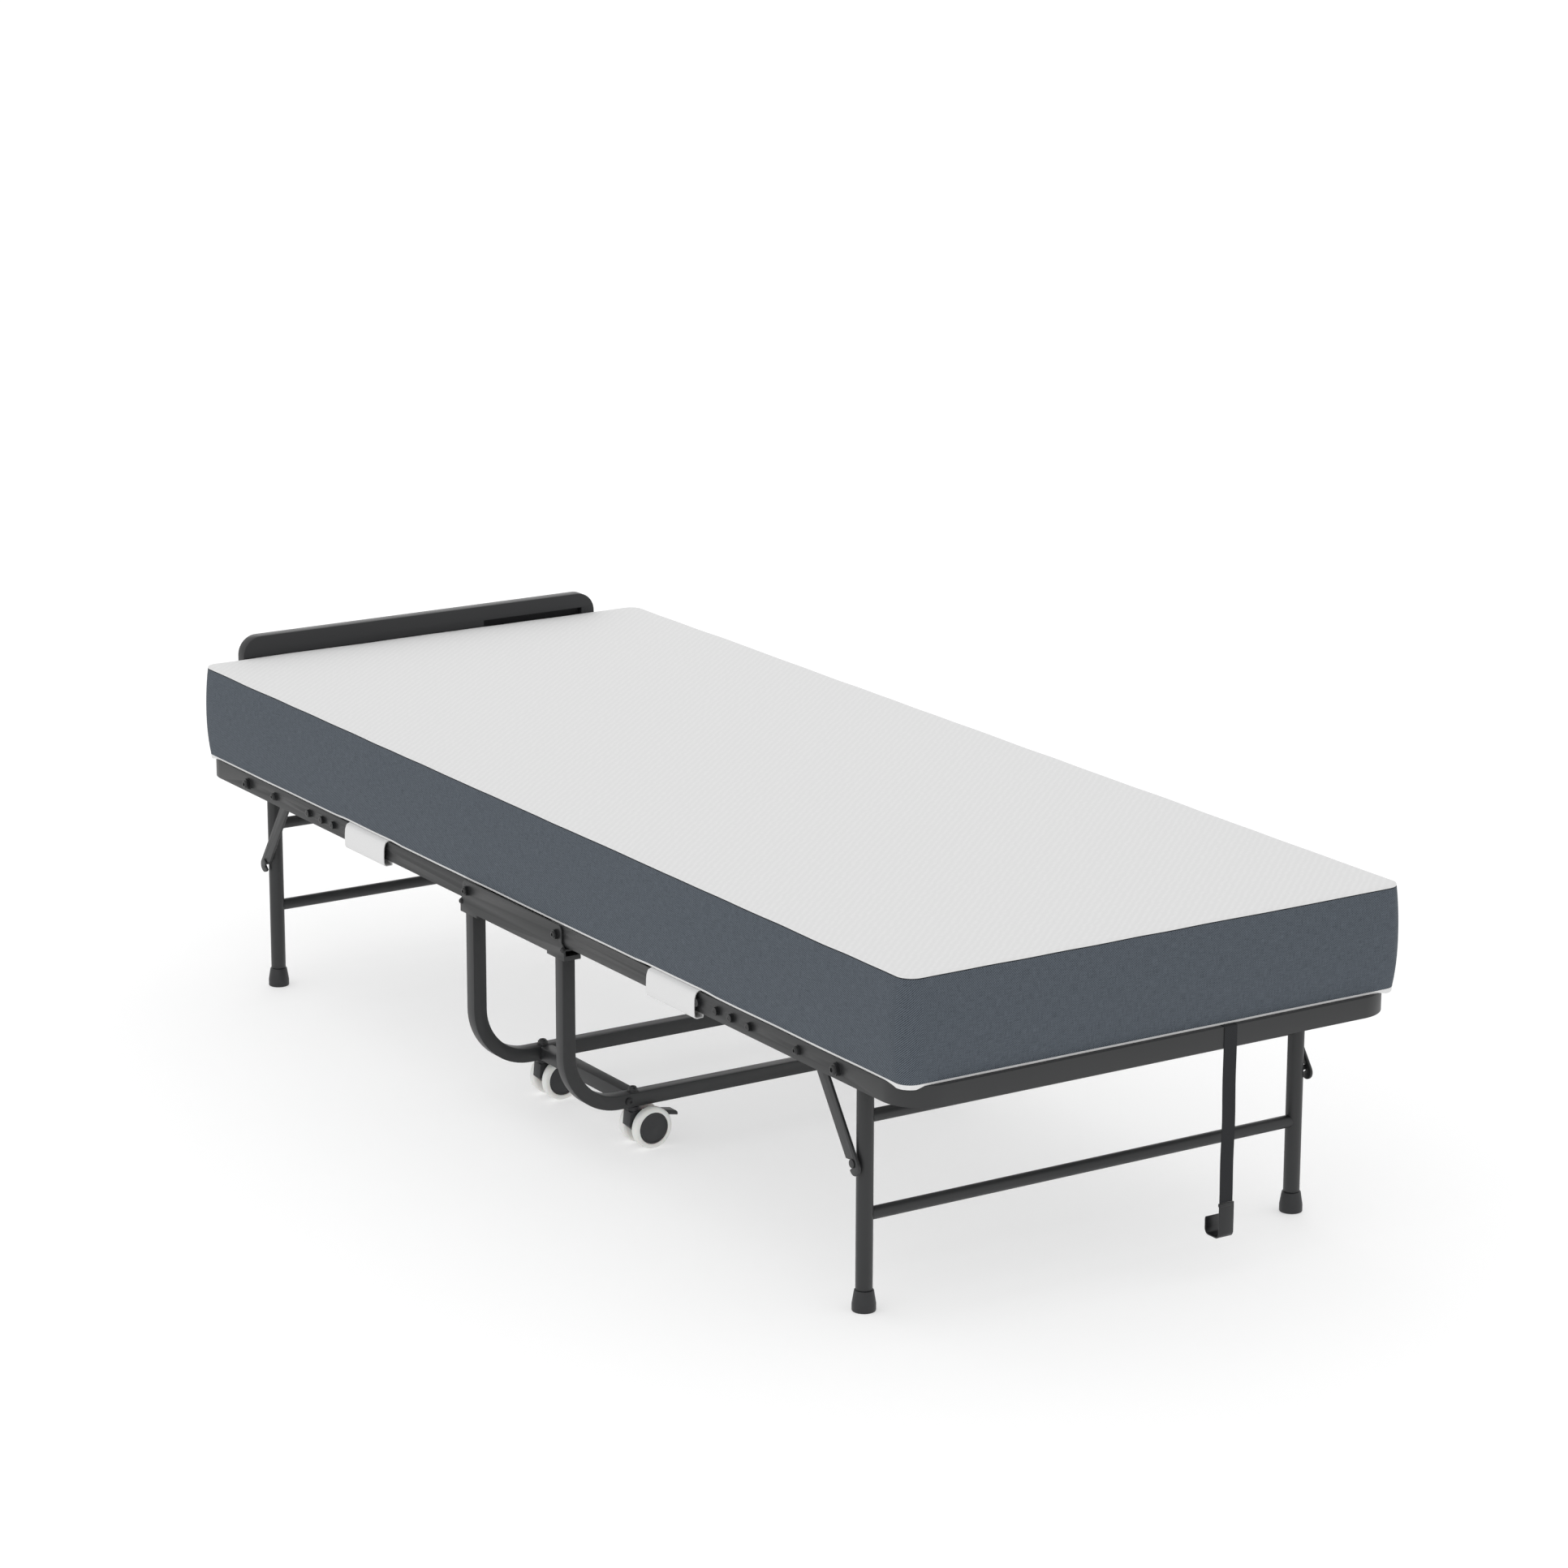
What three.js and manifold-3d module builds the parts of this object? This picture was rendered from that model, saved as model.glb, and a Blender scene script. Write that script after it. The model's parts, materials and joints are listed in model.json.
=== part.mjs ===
// Folding guest bed: two hinged sections, a wheeled centre frame, folding legs and a foam mattress.
// Millimetres, +Z up. X runs across the bed, +Y points to the head end and the floor is Z = 0.
import * as THREE from 'three';
import { mergeVertices } from 'three/addons/utils/BufferGeometryUtils.js';
import Module from 'manifold-3d';

const wasm = await Module();
wasm.setup();

// ---- driving dimensions -------------------------------------------------------------------
const fit = 0.3; // gap kept between pieces that touch

const bedWidth = 762; // over the outer faces of the side rails
const frameLength = 1916; // over the outer faces of the two end rails
const railTop = 337.5; // height of the sleeping deck above the floor
const railHeight = 27.5;
const railThickness = 20;
const railCornerRadius = 55;

const mattressLength = 1905;
const mattressWidth = 768;
const mattressShift = 3; // it lies this far to the right of the frame's centre line
const mattressThickness = 138.7;
const mattressLift = 1.8; // cloth bands pass between the rail and the mattress
const mattressCornerRadius = 22;

const pivotSpacing = 246.8; // between the two fold axes at the middle of the bed
const railEndReach = 18; // rail that runs on past its fold axis
const bracketOverhang = 20; // channel that runs on past the fold axis
const bracketDrop = 16; // channel floor below the underside of the rails
const bracketPlate = 2.5;
const bracketShoulder = 7; // upper corner stands back from the lower one
const pivotBoltRadius = 4;
const stopRadius = 2.6;

const loopTube = 20; // square tube of the wheeled centre frame
const loopBendRadius = 80; // to the middle of the tube
const casterHeadroom = 1.5; // between the wheels and the cross tube
const postFlange = 4; // plate between a post and the channel
const postFlangeLength = 46;

const casterInset = 115; // stem from the outer face of the post
const casterTrail = 20;
const wheelRadius = 29.5;
const wheelWidth = 14;
const wheelGap = 20;
const axleRadius = 3;
const stemRadius = 5;
const pedalPinRadius = 1.5;
const pedalEyeRadius = 4;
const pedalEyeHalf = 4; // half the width of the pedal's eye
const pedalReach = 47; // from the axle to the pedal's tip

const legEndInset = 153; // leg pivot from the end rail's outer face
const legArmGap = 4.2; // between a leg and its brace arm
const legRadius = 11;
const legBarRadius = 8.5;
const lowerBarHeight = 126.5;
const upperBarHeight = 254.5;
const footRadius = 15.5;
const footHeight = 28;
const legPinRadius = 3.5;

const armPivotInboard = 88; // arm pivot from the leg pivot
const armPinDrop = 127; // pin on the leg below the leg pivot
const armWidth = 21;
const armThickness = 3.5;
const armRailGap = 3.3; // spacer between the rail and the arm

const boltHeadRadius = 5.5;
const boltHeadHeight = 5;
const boltShankRadius = 3;
const pivotHeadRadius = 8.2;
const pivotHeadHeight = 6;
const clipBoltInboard = [200, 242.5, 277.5, 322]; // from the leg pivot
const clipPlateThickness = 2;
const clipPlateHeight = 20;
const clipPlateMargin = 14;

const slatWidth = 30;
const slatThickness = 2.7;
const slatPitch = 100;
const stringerInset = 180; // lengthwise strips from the bed's centre line
const stringerWidth = 25;

const bandWidth = 119; // along the rail
const bandCentre = 422; // from the middle of the bed
const bandThickness = 1.2;
const bandStandOff = 7.5; // cloth hangs this far outside the rail
const bandDrop = 10; // and this far below it

const headboardWidth = 622;
const headboardThickness = 20;
const headboardRise = 172.5; // above the sleeping deck
const headboardLap = 4.5; // panel stands this far over the end rail
const headboardCornerRadius = 30;
const headboardOverlap = 25; // reaches down behind the end rail
const headboardTongue = 15; // thickness behind the end rail
const gripWidth = 178;
const gripHeight = 52;
const gripDepth = 12;
const gripTopMargin = 23;
const gripSideMargin = 23;

const strapWidth = 20;
const strapThickness = 1.4;
const strapOffset = 108; // from the bed's centre line
const strapLength = 206;
const hookPlate = 2;
const hookWidth = 23;
const hookHeight = 47;
const hookDepth = 28;
const hookLip = 22;

// ---- worked out from them -----------------------------------------------------------------
const railOuter = bedWidth / 2;
const railInner = railOuter - railThickness;
const railBottom = railTop - railHeight;
const railCentre = railTop - railHeight / 2;
const frameEnd = frameLength / 2;
const pivotY = pivotSpacing / 2;
const legY = frameEnd - legEndInset;
const armOuter = railInner - armRailGap;
const armInner = armOuter - armThickness;
const legX = armInner - legArmGap - legRadius;
const bracketFloor = railBottom - bracketDrop;
const bracketEnd = pivotY + bracketOverhang;
const postOuter = railOuter - fit;
const postX = postOuter - loopTube / 2;
const postTop = bracketFloor - postFlange - fit;
const loopUnderside = 2 * wheelRadius + casterHeadroom;
const loopTop = loopUnderside + loopTube;
const casterX = postOuter - casterInset;
const mattressBottom = railTop + mattressLift;
const headboardTop = railTop + headboardRise;
const headboardFront = Math.max(frameEnd - headboardLap, mattressLength / 2 + 1);
const headboardBack = Math.max(headboardFront + headboardThickness, frameEnd + headboardTongue);
const strapY = -frameEnd - fit - strapThickness;

// ---- finishes -----------------------------------------------------------------------------
const finish = (color, roughness, metalness = 0) =>
  new THREE.MeshStandardMaterial({ color, roughness, metalness });
const powderCoat = finish('#4a4b4d', 0.55, 0.3);
const darkCoat = finish('#353638', 0.5, 0.3);
const boltBlack = finish('#1d1e20', 0.45, 0.6);
const plasticBlack = finish('#242527', 0.6);
const wheelGrey = finish('#d9dad6', 0.5);
const sideCloth = finish('#555a60', 0.95);
const whiteCloth = finish('#e4e4e4', 0.95);
const webbing = finish('#232426', 0.9);
const hookSteel = finish('#3c3d3f', 0.4, 0.7);

// ---- solid helpers ------------------------------------------------------------------------
function toSolid(geometry) {
  geometry.deleteAttribute('normal');
  geometry.deleteAttribute('uv');
  const merged = mergeVertices(geometry, 1e-4);
  const vertProperties = new Float32Array(merged.attributes.position.array);
  const triVerts = new Uint32Array(merged.index.array);
  return new wasm.Manifold(new wasm.Mesh({ numProp: 3, vertProperties, triVerts }));
}

function toGeometry(solid) {
  const data = solid.getMesh();
  const geometry = new THREE.BufferGeometry();
  geometry.setAttribute('position', new THREE.BufferAttribute(data.vertProperties, 3));
  geometry.setIndex(new THREE.BufferAttribute(data.triVerts, 1));
  return geometry;
}

const join = (first, ...rest) => rest.reduce((sum, piece) => sum.add(piece), first);
const cut = (first, ...rest) => rest.reduce((left, piece) => left.subtract(piece), first);

function block(x0, x1, y0, y1, z0, z1) {
  const geometry = new THREE.BoxGeometry(x1 - x0, y1 - y0, z1 - z0);
  return toSolid(geometry.translate((x0 + x1) / 2, (y0 + y1) / 2, (z0 + z1) / 2));
}

// A flat outline pulled along X, Y or Z between two places.
const unitX = new THREE.Vector3(1, 0, 0);
const unitY = new THREE.Vector3(0, 1, 0);
const unitZ = new THREE.Vector3(0, 0, 1);

function pull(outline, from, to, basis, start) {
  const options = { depth: to - from, bevelEnabled: false, curveSegments: 10 };
  const geometry = new THREE.ExtrudeGeometry(outline, options);
  geometry.applyMatrix4(new THREE.Matrix4().makeBasis(...basis));
  return toSolid(geometry.translate(start.x, start.y, start.z));
}
const pullX = (outline, from, to) =>
  pull(outline, from, to, [unitY, unitZ, unitX], new THREE.Vector3(from, 0, 0));
const pullY = (outline, from, to) =>
  pull(outline, from, to, [unitX, unitZ, unitY.clone().negate()], new THREE.Vector3(0, to, 0));
const pullZ = (outline, from, to) =>
  pull(outline, from, to, [unitX, unitY, unitZ], new THREE.Vector3(0, 0, from));

// Round bars along an axis, between two places on it.
function barX(radius, x0, x1, y, z, sides = 24) {
  const geometry = new THREE.CylinderGeometry(radius, radius, x1 - x0, sides);
  return toSolid(geometry.rotateZ(Math.PI / 2).translate((x0 + x1) / 2, y, z));
}
function barY(radius, y0, y1, x, z, sides = 24) {
  const geometry = new THREE.CylinderGeometry(radius, radius, y1 - y0, sides);
  return toSolid(geometry.translate(x, (y0 + y1) / 2, z));
}
function barZ(radius, z0, z1, x, y, sides = 24) {
  const geometry = new THREE.CylinderGeometry(radius, radius, z1 - z0, sides);
  return toSolid(geometry.rotateX(Math.PI / 2).translate(x, y, (z0 + z1) / 2));
}

function node(group, name, solid, material) {
  const mesh = new THREE.Mesh(toGeometry(solid), material);
  mesh.name = name;
  group.add(mesh);
}

// ---- side rails and end rail: one bent tube on each section --------------------------------
function sectionRail() {
  const start = pivotY - railEndReach;
  const outer = railCornerRadius;
  const inner = outer - railThickness;
  const farInside = frameEnd - railThickness;
  const outline = new THREE.Shape();
  outline.moveTo(-railOuter, start);
  outline.lineTo(-railInner, start);
  outline.absarc(-railInner + inner, farInside - inner, inner, Math.PI, Math.PI / 2, true);
  outline.absarc(railInner - inner, farInside - inner, inner, Math.PI / 2, 0, true);
  outline.lineTo(railInner, start);
  outline.lineTo(railOuter, start);
  outline.absarc(railOuter - outer, frameEnd - outer, outer, 0, Math.PI / 2, false);
  outline.absarc(-railOuter + outer, frameEnd - outer, outer, Math.PI / 2, Math.PI, false);
  const holes = [];
  for (const side of [-1, 1]) {
    const x0 = side < 0 ? -railOuter - 1 : railInner - 1;
    const x1 = x0 + railThickness + 2;
    const hole = (radius, y) => holes.push(barX(radius + fit, x0, x1, y, railCentre, 16));
    hole(pivotBoltRadius, pivotY);
    hole(pivotBoltRadius, legY);
    hole(boltShankRadius, legY - armPivotInboard);
    clipBoltInboard.forEach((inboard) => hole(boltShankRadius, legY - inboard));
  }
  return cut(pullZ(outline, railBottom, railTop), ...holes);
}

// Flat steel deck under the mattress: cross slats on two lengthwise strips.
function deck() {
  const reach = railInner - fit;
  const first = pivotY + 30;
  const z0 = railTop - slatThickness;
  const room = frameEnd - railThickness - fit - first - slatWidth;
  const slatCount = Math.floor(room / slatPitch) + 1;
  const slats = [];
  for (let i = 0; i < slatCount; i += 1) {
    const y = first + i * slatPitch;
    slats.push(block(-reach, reach, y, y + slatWidth, z0, railTop));
  }
  const last = first + (slatCount - 1) * slatPitch + slatWidth;
  for (const x of [-stringerInset, stringerInset]) {
    const half = stringerWidth / 2;
    slats.push(block(x - half, x + half, first, last, z0, railTop));
  }
  return join(...slats);
}

// ---- bolts ---------------------------------------------------------------------------------
// A button-head bolt through the rail; outward is -1 on the left and 1 on the right.
function railBolt(outward, y, headRadius, headHeight, shankRadius, inside) {
  const face = railOuter + fit;
  const span = (a, b) => (outward > 0 ? [a, b] : [-b, -a]);
  const head = barX(headRadius, ...span(face, face + headHeight), y, railCentre, 20);
  const shank = barX(shankRadius, ...span(inside, face + 1), y, railCentre, 16);
  return join(head, shank);
}

// Plate inside the rail with the four bolts that hold it there.
function legClip(outward) {
  const inner = railInner - fit;
  const near = legY - clipBoltInboard[0] + clipPlateMargin;
  const far = legY - clipBoltInboard[clipBoltInboard.length - 1] - clipPlateMargin;
  const half = clipPlateHeight / 2;
  const span = (a, b) => (outward > 0 ? [a, b] : [-b, -a]);
  const bolts = clipBoltInboard.map((inboard) =>
    railBolt(outward, legY - inboard, boltHeadRadius, boltHeadHeight, boltShankRadius, inner - 1));
  const plate = block(...span(inner - clipPlateThickness, inner), far, near,
    railCentre - half, railCentre + half);
  return join(plate, ...bolts);
}

// ---- folding legs --------------------------------------------------------------------------
function leg(outward) {
  const x = outward * legX;
  const span = (a, b) => (outward > 0 ? [a, b] : [-b, -a]);
  const tube = barZ(legRadius, footHeight + fit, railCentre + legRadius - fit, x, legY);
  const pinZ = railCentre - armPinDrop;
  const pin = barX(legPinRadius, ...span(legX, armOuter + 1), legY, pinZ, 16);
  const cap = barX(legPinRadius + 2.2, ...span(armOuter + fit, armOuter + 1.8), legY, pinZ, 16);
  const bore = barX(pivotBoltRadius + fit, x - legRadius - 1, x + legRadius + 1, legY, railCentre, 16);
  return cut(join(tube, pin, cap), bore);
}

function legBar(z) {
  const reach = legX - Math.sqrt(legRadius ** 2 - legBarRadius ** 2) + 1;
  const bar = barX(legBarRadius, -reach, reach, legY, z);
  const room = [-1, 1].map((side) => barZ(legRadius + fit, z - 20, z + 20, side * legX, legY));
  return cut(bar, ...room);
}

function legFoot(outward) {
  const profile = [
    [0, 0],
    [footRadius, 0],
    [footRadius, footHeight * 0.35],
    [legRadius + 1.5, footHeight],
    [0, footHeight],
  ].map(([r, z]) => new THREE.Vector2(r, z));
  const turned = new THREE.LatheGeometry(profile, 24);
  return toSolid(turned.rotateX(Math.PI / 2).translate(outward * legX, legY, 0));
}

// ---- brace arms ----------------------------------------------------------------------------
// A flat bar from the rail to the pin on the leg, with a hooked slot open to the inboard edge.
function braceArm(outward) {
  const armY = legY - armPivotInboard;
  const pinZ = railCentre - armPinDrop;
  const half = armWidth / 2;
  const length = Math.hypot(armPivotInboard, armPinDrop);
  const lean = Math.atan2(armPivotInboard, armPinDrop);
  const outline = new THREE.Shape();
  outline.moveTo(half, 0);
  outline.absarc(0, 0, half, 0, Math.PI, false);
  outline.lineTo(-half, -length - 6);
  outline.absarc(0, -length - 6, half, Math.PI, 2 * Math.PI, false);
  const [x0, x1] = outward > 0 ? [armInner, armOuter] : [-armOuter, -armInner];
  const bar = pullX(outline, x0, x1);
  const turned = bar.rotate([(lean * 180) / Math.PI, 0, 0]).translate([0, armY, railCentre]);
  // The pin leaves the seat level with it and the mouth opens downwards, as a hook's does.
  const seat = legPinRadius + 0.7;
  const mouth = new THREE.Shape();
  mouth.moveTo(legY, pinZ + seat);
  mouth.absarc(legY, pinZ, seat, Math.PI / 2, -Math.PI / 4, true);
  mouth.lineTo(legY - 3 * half, pinZ - 3 * half);
  mouth.lineTo(legY - 3 * half, pinZ + seat - 3);
  const notch = pullX(mouth, x0 - 1, x1 + 1);
  const shankInner = armInner - 1;
  const pivot = railBolt(outward, armY, boltHeadRadius, boltHeadHeight, boltShankRadius, shankInner);
  return join(cut(turned, notch), pivot);
}

// ---- one half of the bed, drawn as the head half --------------------------------------------
const bed = new THREE.Group();

function mattressPiece(y0, y1, roundedEnd, shift) {
  const r = mattressCornerRadius;
  const x = mattressWidth / 2;
  const outline = new THREE.Shape();
  outline.moveTo(-x, y0);
  outline.lineTo(x, y0);
  if (roundedEnd) {
    outline.absarc(x - r, y1 - r, r, 0, Math.PI / 2, false);
    outline.absarc(-x + r, y1 - r, r, Math.PI / 2, Math.PI, false);
  } else {
    outline.lineTo(x, y1);
    outline.lineTo(-x, y1);
  }
  const foam = pullZ(outline, mattressBottom, mattressBottom + mattressThickness);
  return foam.translate([shift, 0, 0]);
}

// Cloth band that holds the mattress to a side rail: over the rail, down outside it and under.
function band(outward) {
  const out = railOuter + bandStandOff;
  const t = bandThickness;
  const low = railBottom - bandDrop;
  const high = railTop + (mattressLift - t) / 2;
  const span = (a, b) => (outward > 0 ? [a, b] : [-b, -a]);
  const y = [bandCentre - bandWidth / 2, bandCentre + bandWidth / 2];
  return join(
    block(...span(railInner + 4, out), ...y, high, high + t),
    block(...span(out - t, out), ...y, low, high + t),
    block(...span(railInner + 4, out), ...y, low, low + t),
  );
}

function sectionHalf(end, turn) {
  const half = new THREE.Group();
  half.rotation.z = turn;
  node(half, `${end}_rail`, sectionRail(), powderCoat);
  node(half, `${end}_deck`, deck(), darkCoat);
  const shift = turn === 0 ? mattressShift : -mattressShift;
  node(half, `${end}_mattress`, mattressPiece(pivotY + fit, mattressLength / 2, true, shift),
    sideCloth);
  for (const outward of [-1, 1]) {
    const side = (outward < 0) === (turn === 0) ? 'left' : 'right';
    const legInside = legX + legRadius;
    const legBolt = railBolt(outward, legY, pivotHeadRadius, pivotHeadHeight,
      pivotBoltRadius, legInside - 2 * legRadius);
    node(half, `${end}_${side}_leg_bolt`, legBolt, boltBlack);
    node(half, `${end}_${side}_leg_clip`, legClip(outward), boltBlack);
    node(half, `${end}_${side}_leg`, leg(outward), darkCoat);
    node(half, `${end}_${side}_foot`, legFoot(outward), plasticBlack);
    node(half, `${end}_${side}_brace_arm`, braceArm(outward), powderCoat);
    node(half, `${end}_${side}_band`, band(outward), whiteCloth);
  }
  node(half, `${end}_leg_bar_upper`, legBar(upperBarHeight), darkCoat);
  node(half, `${end}_leg_bar_lower`, legBar(lowerBarHeight), darkCoat);
  bed.add(half);
}
sectionHalf('head', 0);
sectionHalf('foot', Math.PI);

// ---- middle of the mattress -----------------------------------------------------------------
node(bed, 'centre_mattress', mattressPiece(-pivotY, pivotY, false, mattressShift), sideCloth);

// ---- headboard ------------------------------------------------------------------------------
function headboard() {
  const x = headboardWidth / 2;
  const r = headboardCornerRadius;
  const low = railTop + fit;
  const outline = new THREE.Shape();
  outline.moveTo(-x, low);
  outline.lineTo(x, low);
  outline.absarc(x - r, headboardTop - r, r, 0, Math.PI / 2, false);
  outline.absarc(-x + r, headboardTop - r, r, Math.PI / 2, Math.PI, false);
  const panel = pullY(outline, headboardFront, headboardBack);
  const tongue = block(-x, x, frameEnd + fit, headboardBack, railTop - headboardOverlap, low + 1);
  const top = headboardTop - gripTopMargin;
  const right = x - gripSideMargin;
  const grip = block(right - gripWidth, right, headboardFront - 1, headboardFront + gripDepth,
    top - gripHeight, top);
  return cut(join(panel, tongue), grip);
}
node(bed, 'headboard', headboard(), darkCoat);

// ---- centre brackets ------------------------------------------------------------------------
// A channel with upright plates each side of the rails; the stop rivets sit below the rails.
function plateOutline() {
  const r = 8;
  const end = bracketEnd;
  const upper = end - bracketShoulder;
  const shoulder = bracketFloor + bracketDrop;
  const outline = new THREE.Shape();
  outline.moveTo(-end, bracketFloor);
  outline.lineTo(end, bracketFloor);
  outline.lineTo(end, shoulder - 6);
  outline.quadraticCurveTo(end - 1, shoulder, upper, shoulder + 4);
  outline.absarc(upper - r, railTop - r, r, 0, Math.PI / 2, false);
  outline.absarc(-upper + r, railTop - r, r, Math.PI / 2, Math.PI, false);
  outline.lineTo(-upper, shoulder + 4);
  outline.quadraticCurveTo(-end + 1, shoulder, -end, shoulder - 6);
  return outline;
}

function centreBracket(outward) {
  const span = (a, b) => (outward > 0 ? [a, b] : [-b, -a]);
  const outer = railOuter + fit + bracketPlate;
  const inner = railInner - fit - bracketPlate;
  const pieces = [
    pullX(plateOutline(), ...span(outer - bracketPlate, outer)),
    pullX(plateOutline(), ...span(inner, inner + bracketPlate)),
    block(...span(inner, outer), -bracketEnd, bracketEnd, bracketFloor, bracketFloor + bracketPlate),
  ];
  for (const end of [-1, 1]) {
    // an upright section's rail comes to rest on this rivet
    const y = end * (pivotY + railHeight / 2 + fit + stopRadius);
    pieces.push(barX(stopRadius, ...span(inner - 1, outer + 2), y, bracketFloor + 11, 16));
    const y1 = end * bracketEnd;
    const y0 = y1 - end * postFlangeLength;
    pieces.push(block(...span(postOuter - loopTube - 3, outer), Math.min(y0, y1), Math.max(y0, y1),
      bracketFloor - postFlange, bracketFloor + 1));
  }
  const holes = [-1, 1].map((end) =>
    barX(pivotBoltRadius + fit, ...span(inner - 2, outer + 2), end * pivotY, railCentre, 16));
  return cut(join(...pieces), ...holes);
}

function pivotBolt(outward, end) {
  const span = (a, b) => (outward > 0 ? [a, b] : [-b, -a]);
  const outer = railOuter + 2 * fit + bracketPlate;
  const inner = railInner - 2 * fit - bracketPlate;
  const y = end * pivotY;
  return join(
    barX(boltHeadRadius + 1, ...span(outer, outer + boltHeadHeight), y, railCentre, 20),
    barX(pivotBoltRadius, ...span(inner - 1, outer + 1), y, railCentre, 16),
    barX(boltHeadRadius, ...span(inner - 4, inner), y, railCentre, 6),
  );
}

for (const outward of [-1, 1]) {
  const side = outward < 0 ? 'left' : 'right';
  node(bed, `${side}_centre_bracket`, centreBracket(outward), powderCoat);
  node(bed, `head_${side}_pivot_bolt`, pivotBolt(outward, 1), boltBlack);
  node(bed, `foot_${side}_pivot_bolt`, pivotBolt(outward, -1), boltBlack);
}

// ---- wheeled centre frame ---------------------------------------------------------------------
// Square tube bent into a U: two posts and the cross tube between them.
function wheelLoop(end) {
  const outer = loopBendRadius + loopTube / 2;
  const inner = loopBendRadius - loopTube / 2;
  const outline = new THREE.Shape();
  outline.moveTo(-postOuter, postTop);
  outline.lineTo(-postOuter, loopUnderside + outer);
  outline.absarc(-postOuter + outer, loopUnderside + outer, outer, Math.PI, 1.5 * Math.PI, false);
  outline.absarc(postOuter - outer, loopUnderside + outer, outer, 1.5 * Math.PI, 2 * Math.PI, false);
  outline.lineTo(postOuter, postTop);
  outline.lineTo(postOuter - loopTube, postTop);
  outline.absarc(postOuter - outer, loopUnderside + outer, inner, 0, -Math.PI / 2, true);
  outline.absarc(-postOuter + outer, loopUnderside + outer, inner, -Math.PI / 2, -Math.PI, true);
  outline.lineTo(-postOuter + loopTube, postTop);
  const y = end * pivotY;
  const half = loopTube / 2;
  const tube = pullY(outline, y - half, y + half);
  const nuts = [-1, 1].map((side) => barZ(7, loopTop - 1, loopTop + 5, side * casterX, y, 6));
  const heads = [-1, 1].map((side) => {
    const [y0, y1] = end > 0 ? [y + half - 1, y + half + 4] : [y - half - 4, y - half + 1];
    return barY(5, y0, y1, side * (casterX + 12), (loopUnderside + loopTop) / 2, 20);
  });
  const sockets = [-1, 1].map((side) =>
    barZ(stemRadius + fit, loopUnderside - 1, loopTop - 2, side * casterX, y, 20));
  return cut(join(tube, ...nuts, ...heads), ...sockets);
}
node(bed, 'head_wheel_loop', wheelLoop(1), darkCoat);
node(bed, 'foot_wheel_loop', wheelLoop(-1), darkCoat);

for (const outward of [-1, 1]) {
  const side = outward < 0 ? 'left' : 'right';
  const half = loopTube / 2;
  const reach = pivotY - half - fit;
  const x = outward * casterX;
  node(bed, `${side}_wheel_beam`, block(x - half, x + half, -reach, reach, loopUnderside, loopTop),
    powderCoat);
}

// ---- casters ----------------------------------------------------------------------------------
// Drawn with the stem on the Z axis and the wheels trailing towards +X.
const pedalPivotX = casterTrail - 5;
const pedalPivotZ = wheelRadius + 16.5;

function casterHousing() {
  const half = wheelGap / 2 - 1;
  const neck = new THREE.Shape();
  neck.moveTo(-9, wheelRadius + 24);
  neck.lineTo(-11, wheelRadius + 4);
  neck.lineTo(casterTrail - 15, wheelRadius - 10);
  neck.lineTo(casterTrail, wheelRadius + 8);
  neck.lineTo(pedalPivotX + 4, pedalPivotZ - 1);
  neck.lineTo(pedalPivotX + 3, pedalPivotZ + 3);
  neck.lineTo(10, wheelRadius + 24);
  const hub = barY(12.5, -half, half, casterTrail, wheelRadius);
  const collar = barZ(8.7, wheelRadius + 18, loopUnderside - 1, 0, 0);
  const stem = barZ(stemRadius, loopUnderside - 2, loopTop - 3, 0, 0, 20);
  const slot = block(pedalPivotX - pedalEyeRadius - 1, casterTrail + 20, -pedalEyeHalf - fit,
    pedalEyeHalf + fit, pedalPivotZ - pedalEyeRadius - 1, wheelRadius + 30);
  const pin = barY(pedalPinRadius, -half + 1, half - 1, pedalPivotX, pedalPivotZ, 16);
  const bore = barY(axleRadius + fit, -half - 1, half + 1, casterTrail, wheelRadius, 20);
  const body = cut(join(pullY(neck, -half, half), hub, collar), slot, bore);
  return join(body, stem, pin);
}

function casterWheels() {
  const inner = wheelGap / 2;
  const discs = [[-inner - wheelWidth, -inner], [inner, inner + wheelWidth]].map(([y0, y1]) =>
    barY(wheelRadius, y0, y1, casterTrail, wheelRadius, 40));
  return join(...discs, barY(axleRadius, -inner - 1, inner + 1, casterTrail, wheelRadius, 20));
}

// Brake pedal: an eye on the housing's pin and a tongue that slopes down between the wheels.
function brakePedal() {
  const half = wheelGap / 2 - 2;
  const x = pedalPivotX + pedalEyeRadius + 2;
  const z = pedalPivotZ;
  const far = casterTrail + pedalReach;
  const tongue = new THREE.Shape();
  tongue.moveTo(x, z + 4);
  tongue.lineTo(x, z - 0.5);
  tongue.lineTo(casterTrail + 22, z - 4.5);
  tongue.lineTo(far, z - 9.5);
  tongue.quadraticCurveTo(far + 2, z - 5.5, far - 3, z - 2.5);
  tongue.lineTo(casterTrail + 22, z + 1.5);
  const eye = barY(pedalEyeRadius, -pedalEyeHalf, pedalEyeHalf, pedalPivotX, z, 20);
  const neck = block(pedalPivotX, x + 1, -pedalEyeHalf, pedalEyeHalf, z, z + pedalEyeRadius - 0.3);
  const bore = barY(pedalPinRadius + 0.1, -half, half, pedalPivotX, z, 16);
  return cut(join(pullY(tongue, -half, half), eye, neck), bore);
}

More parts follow.
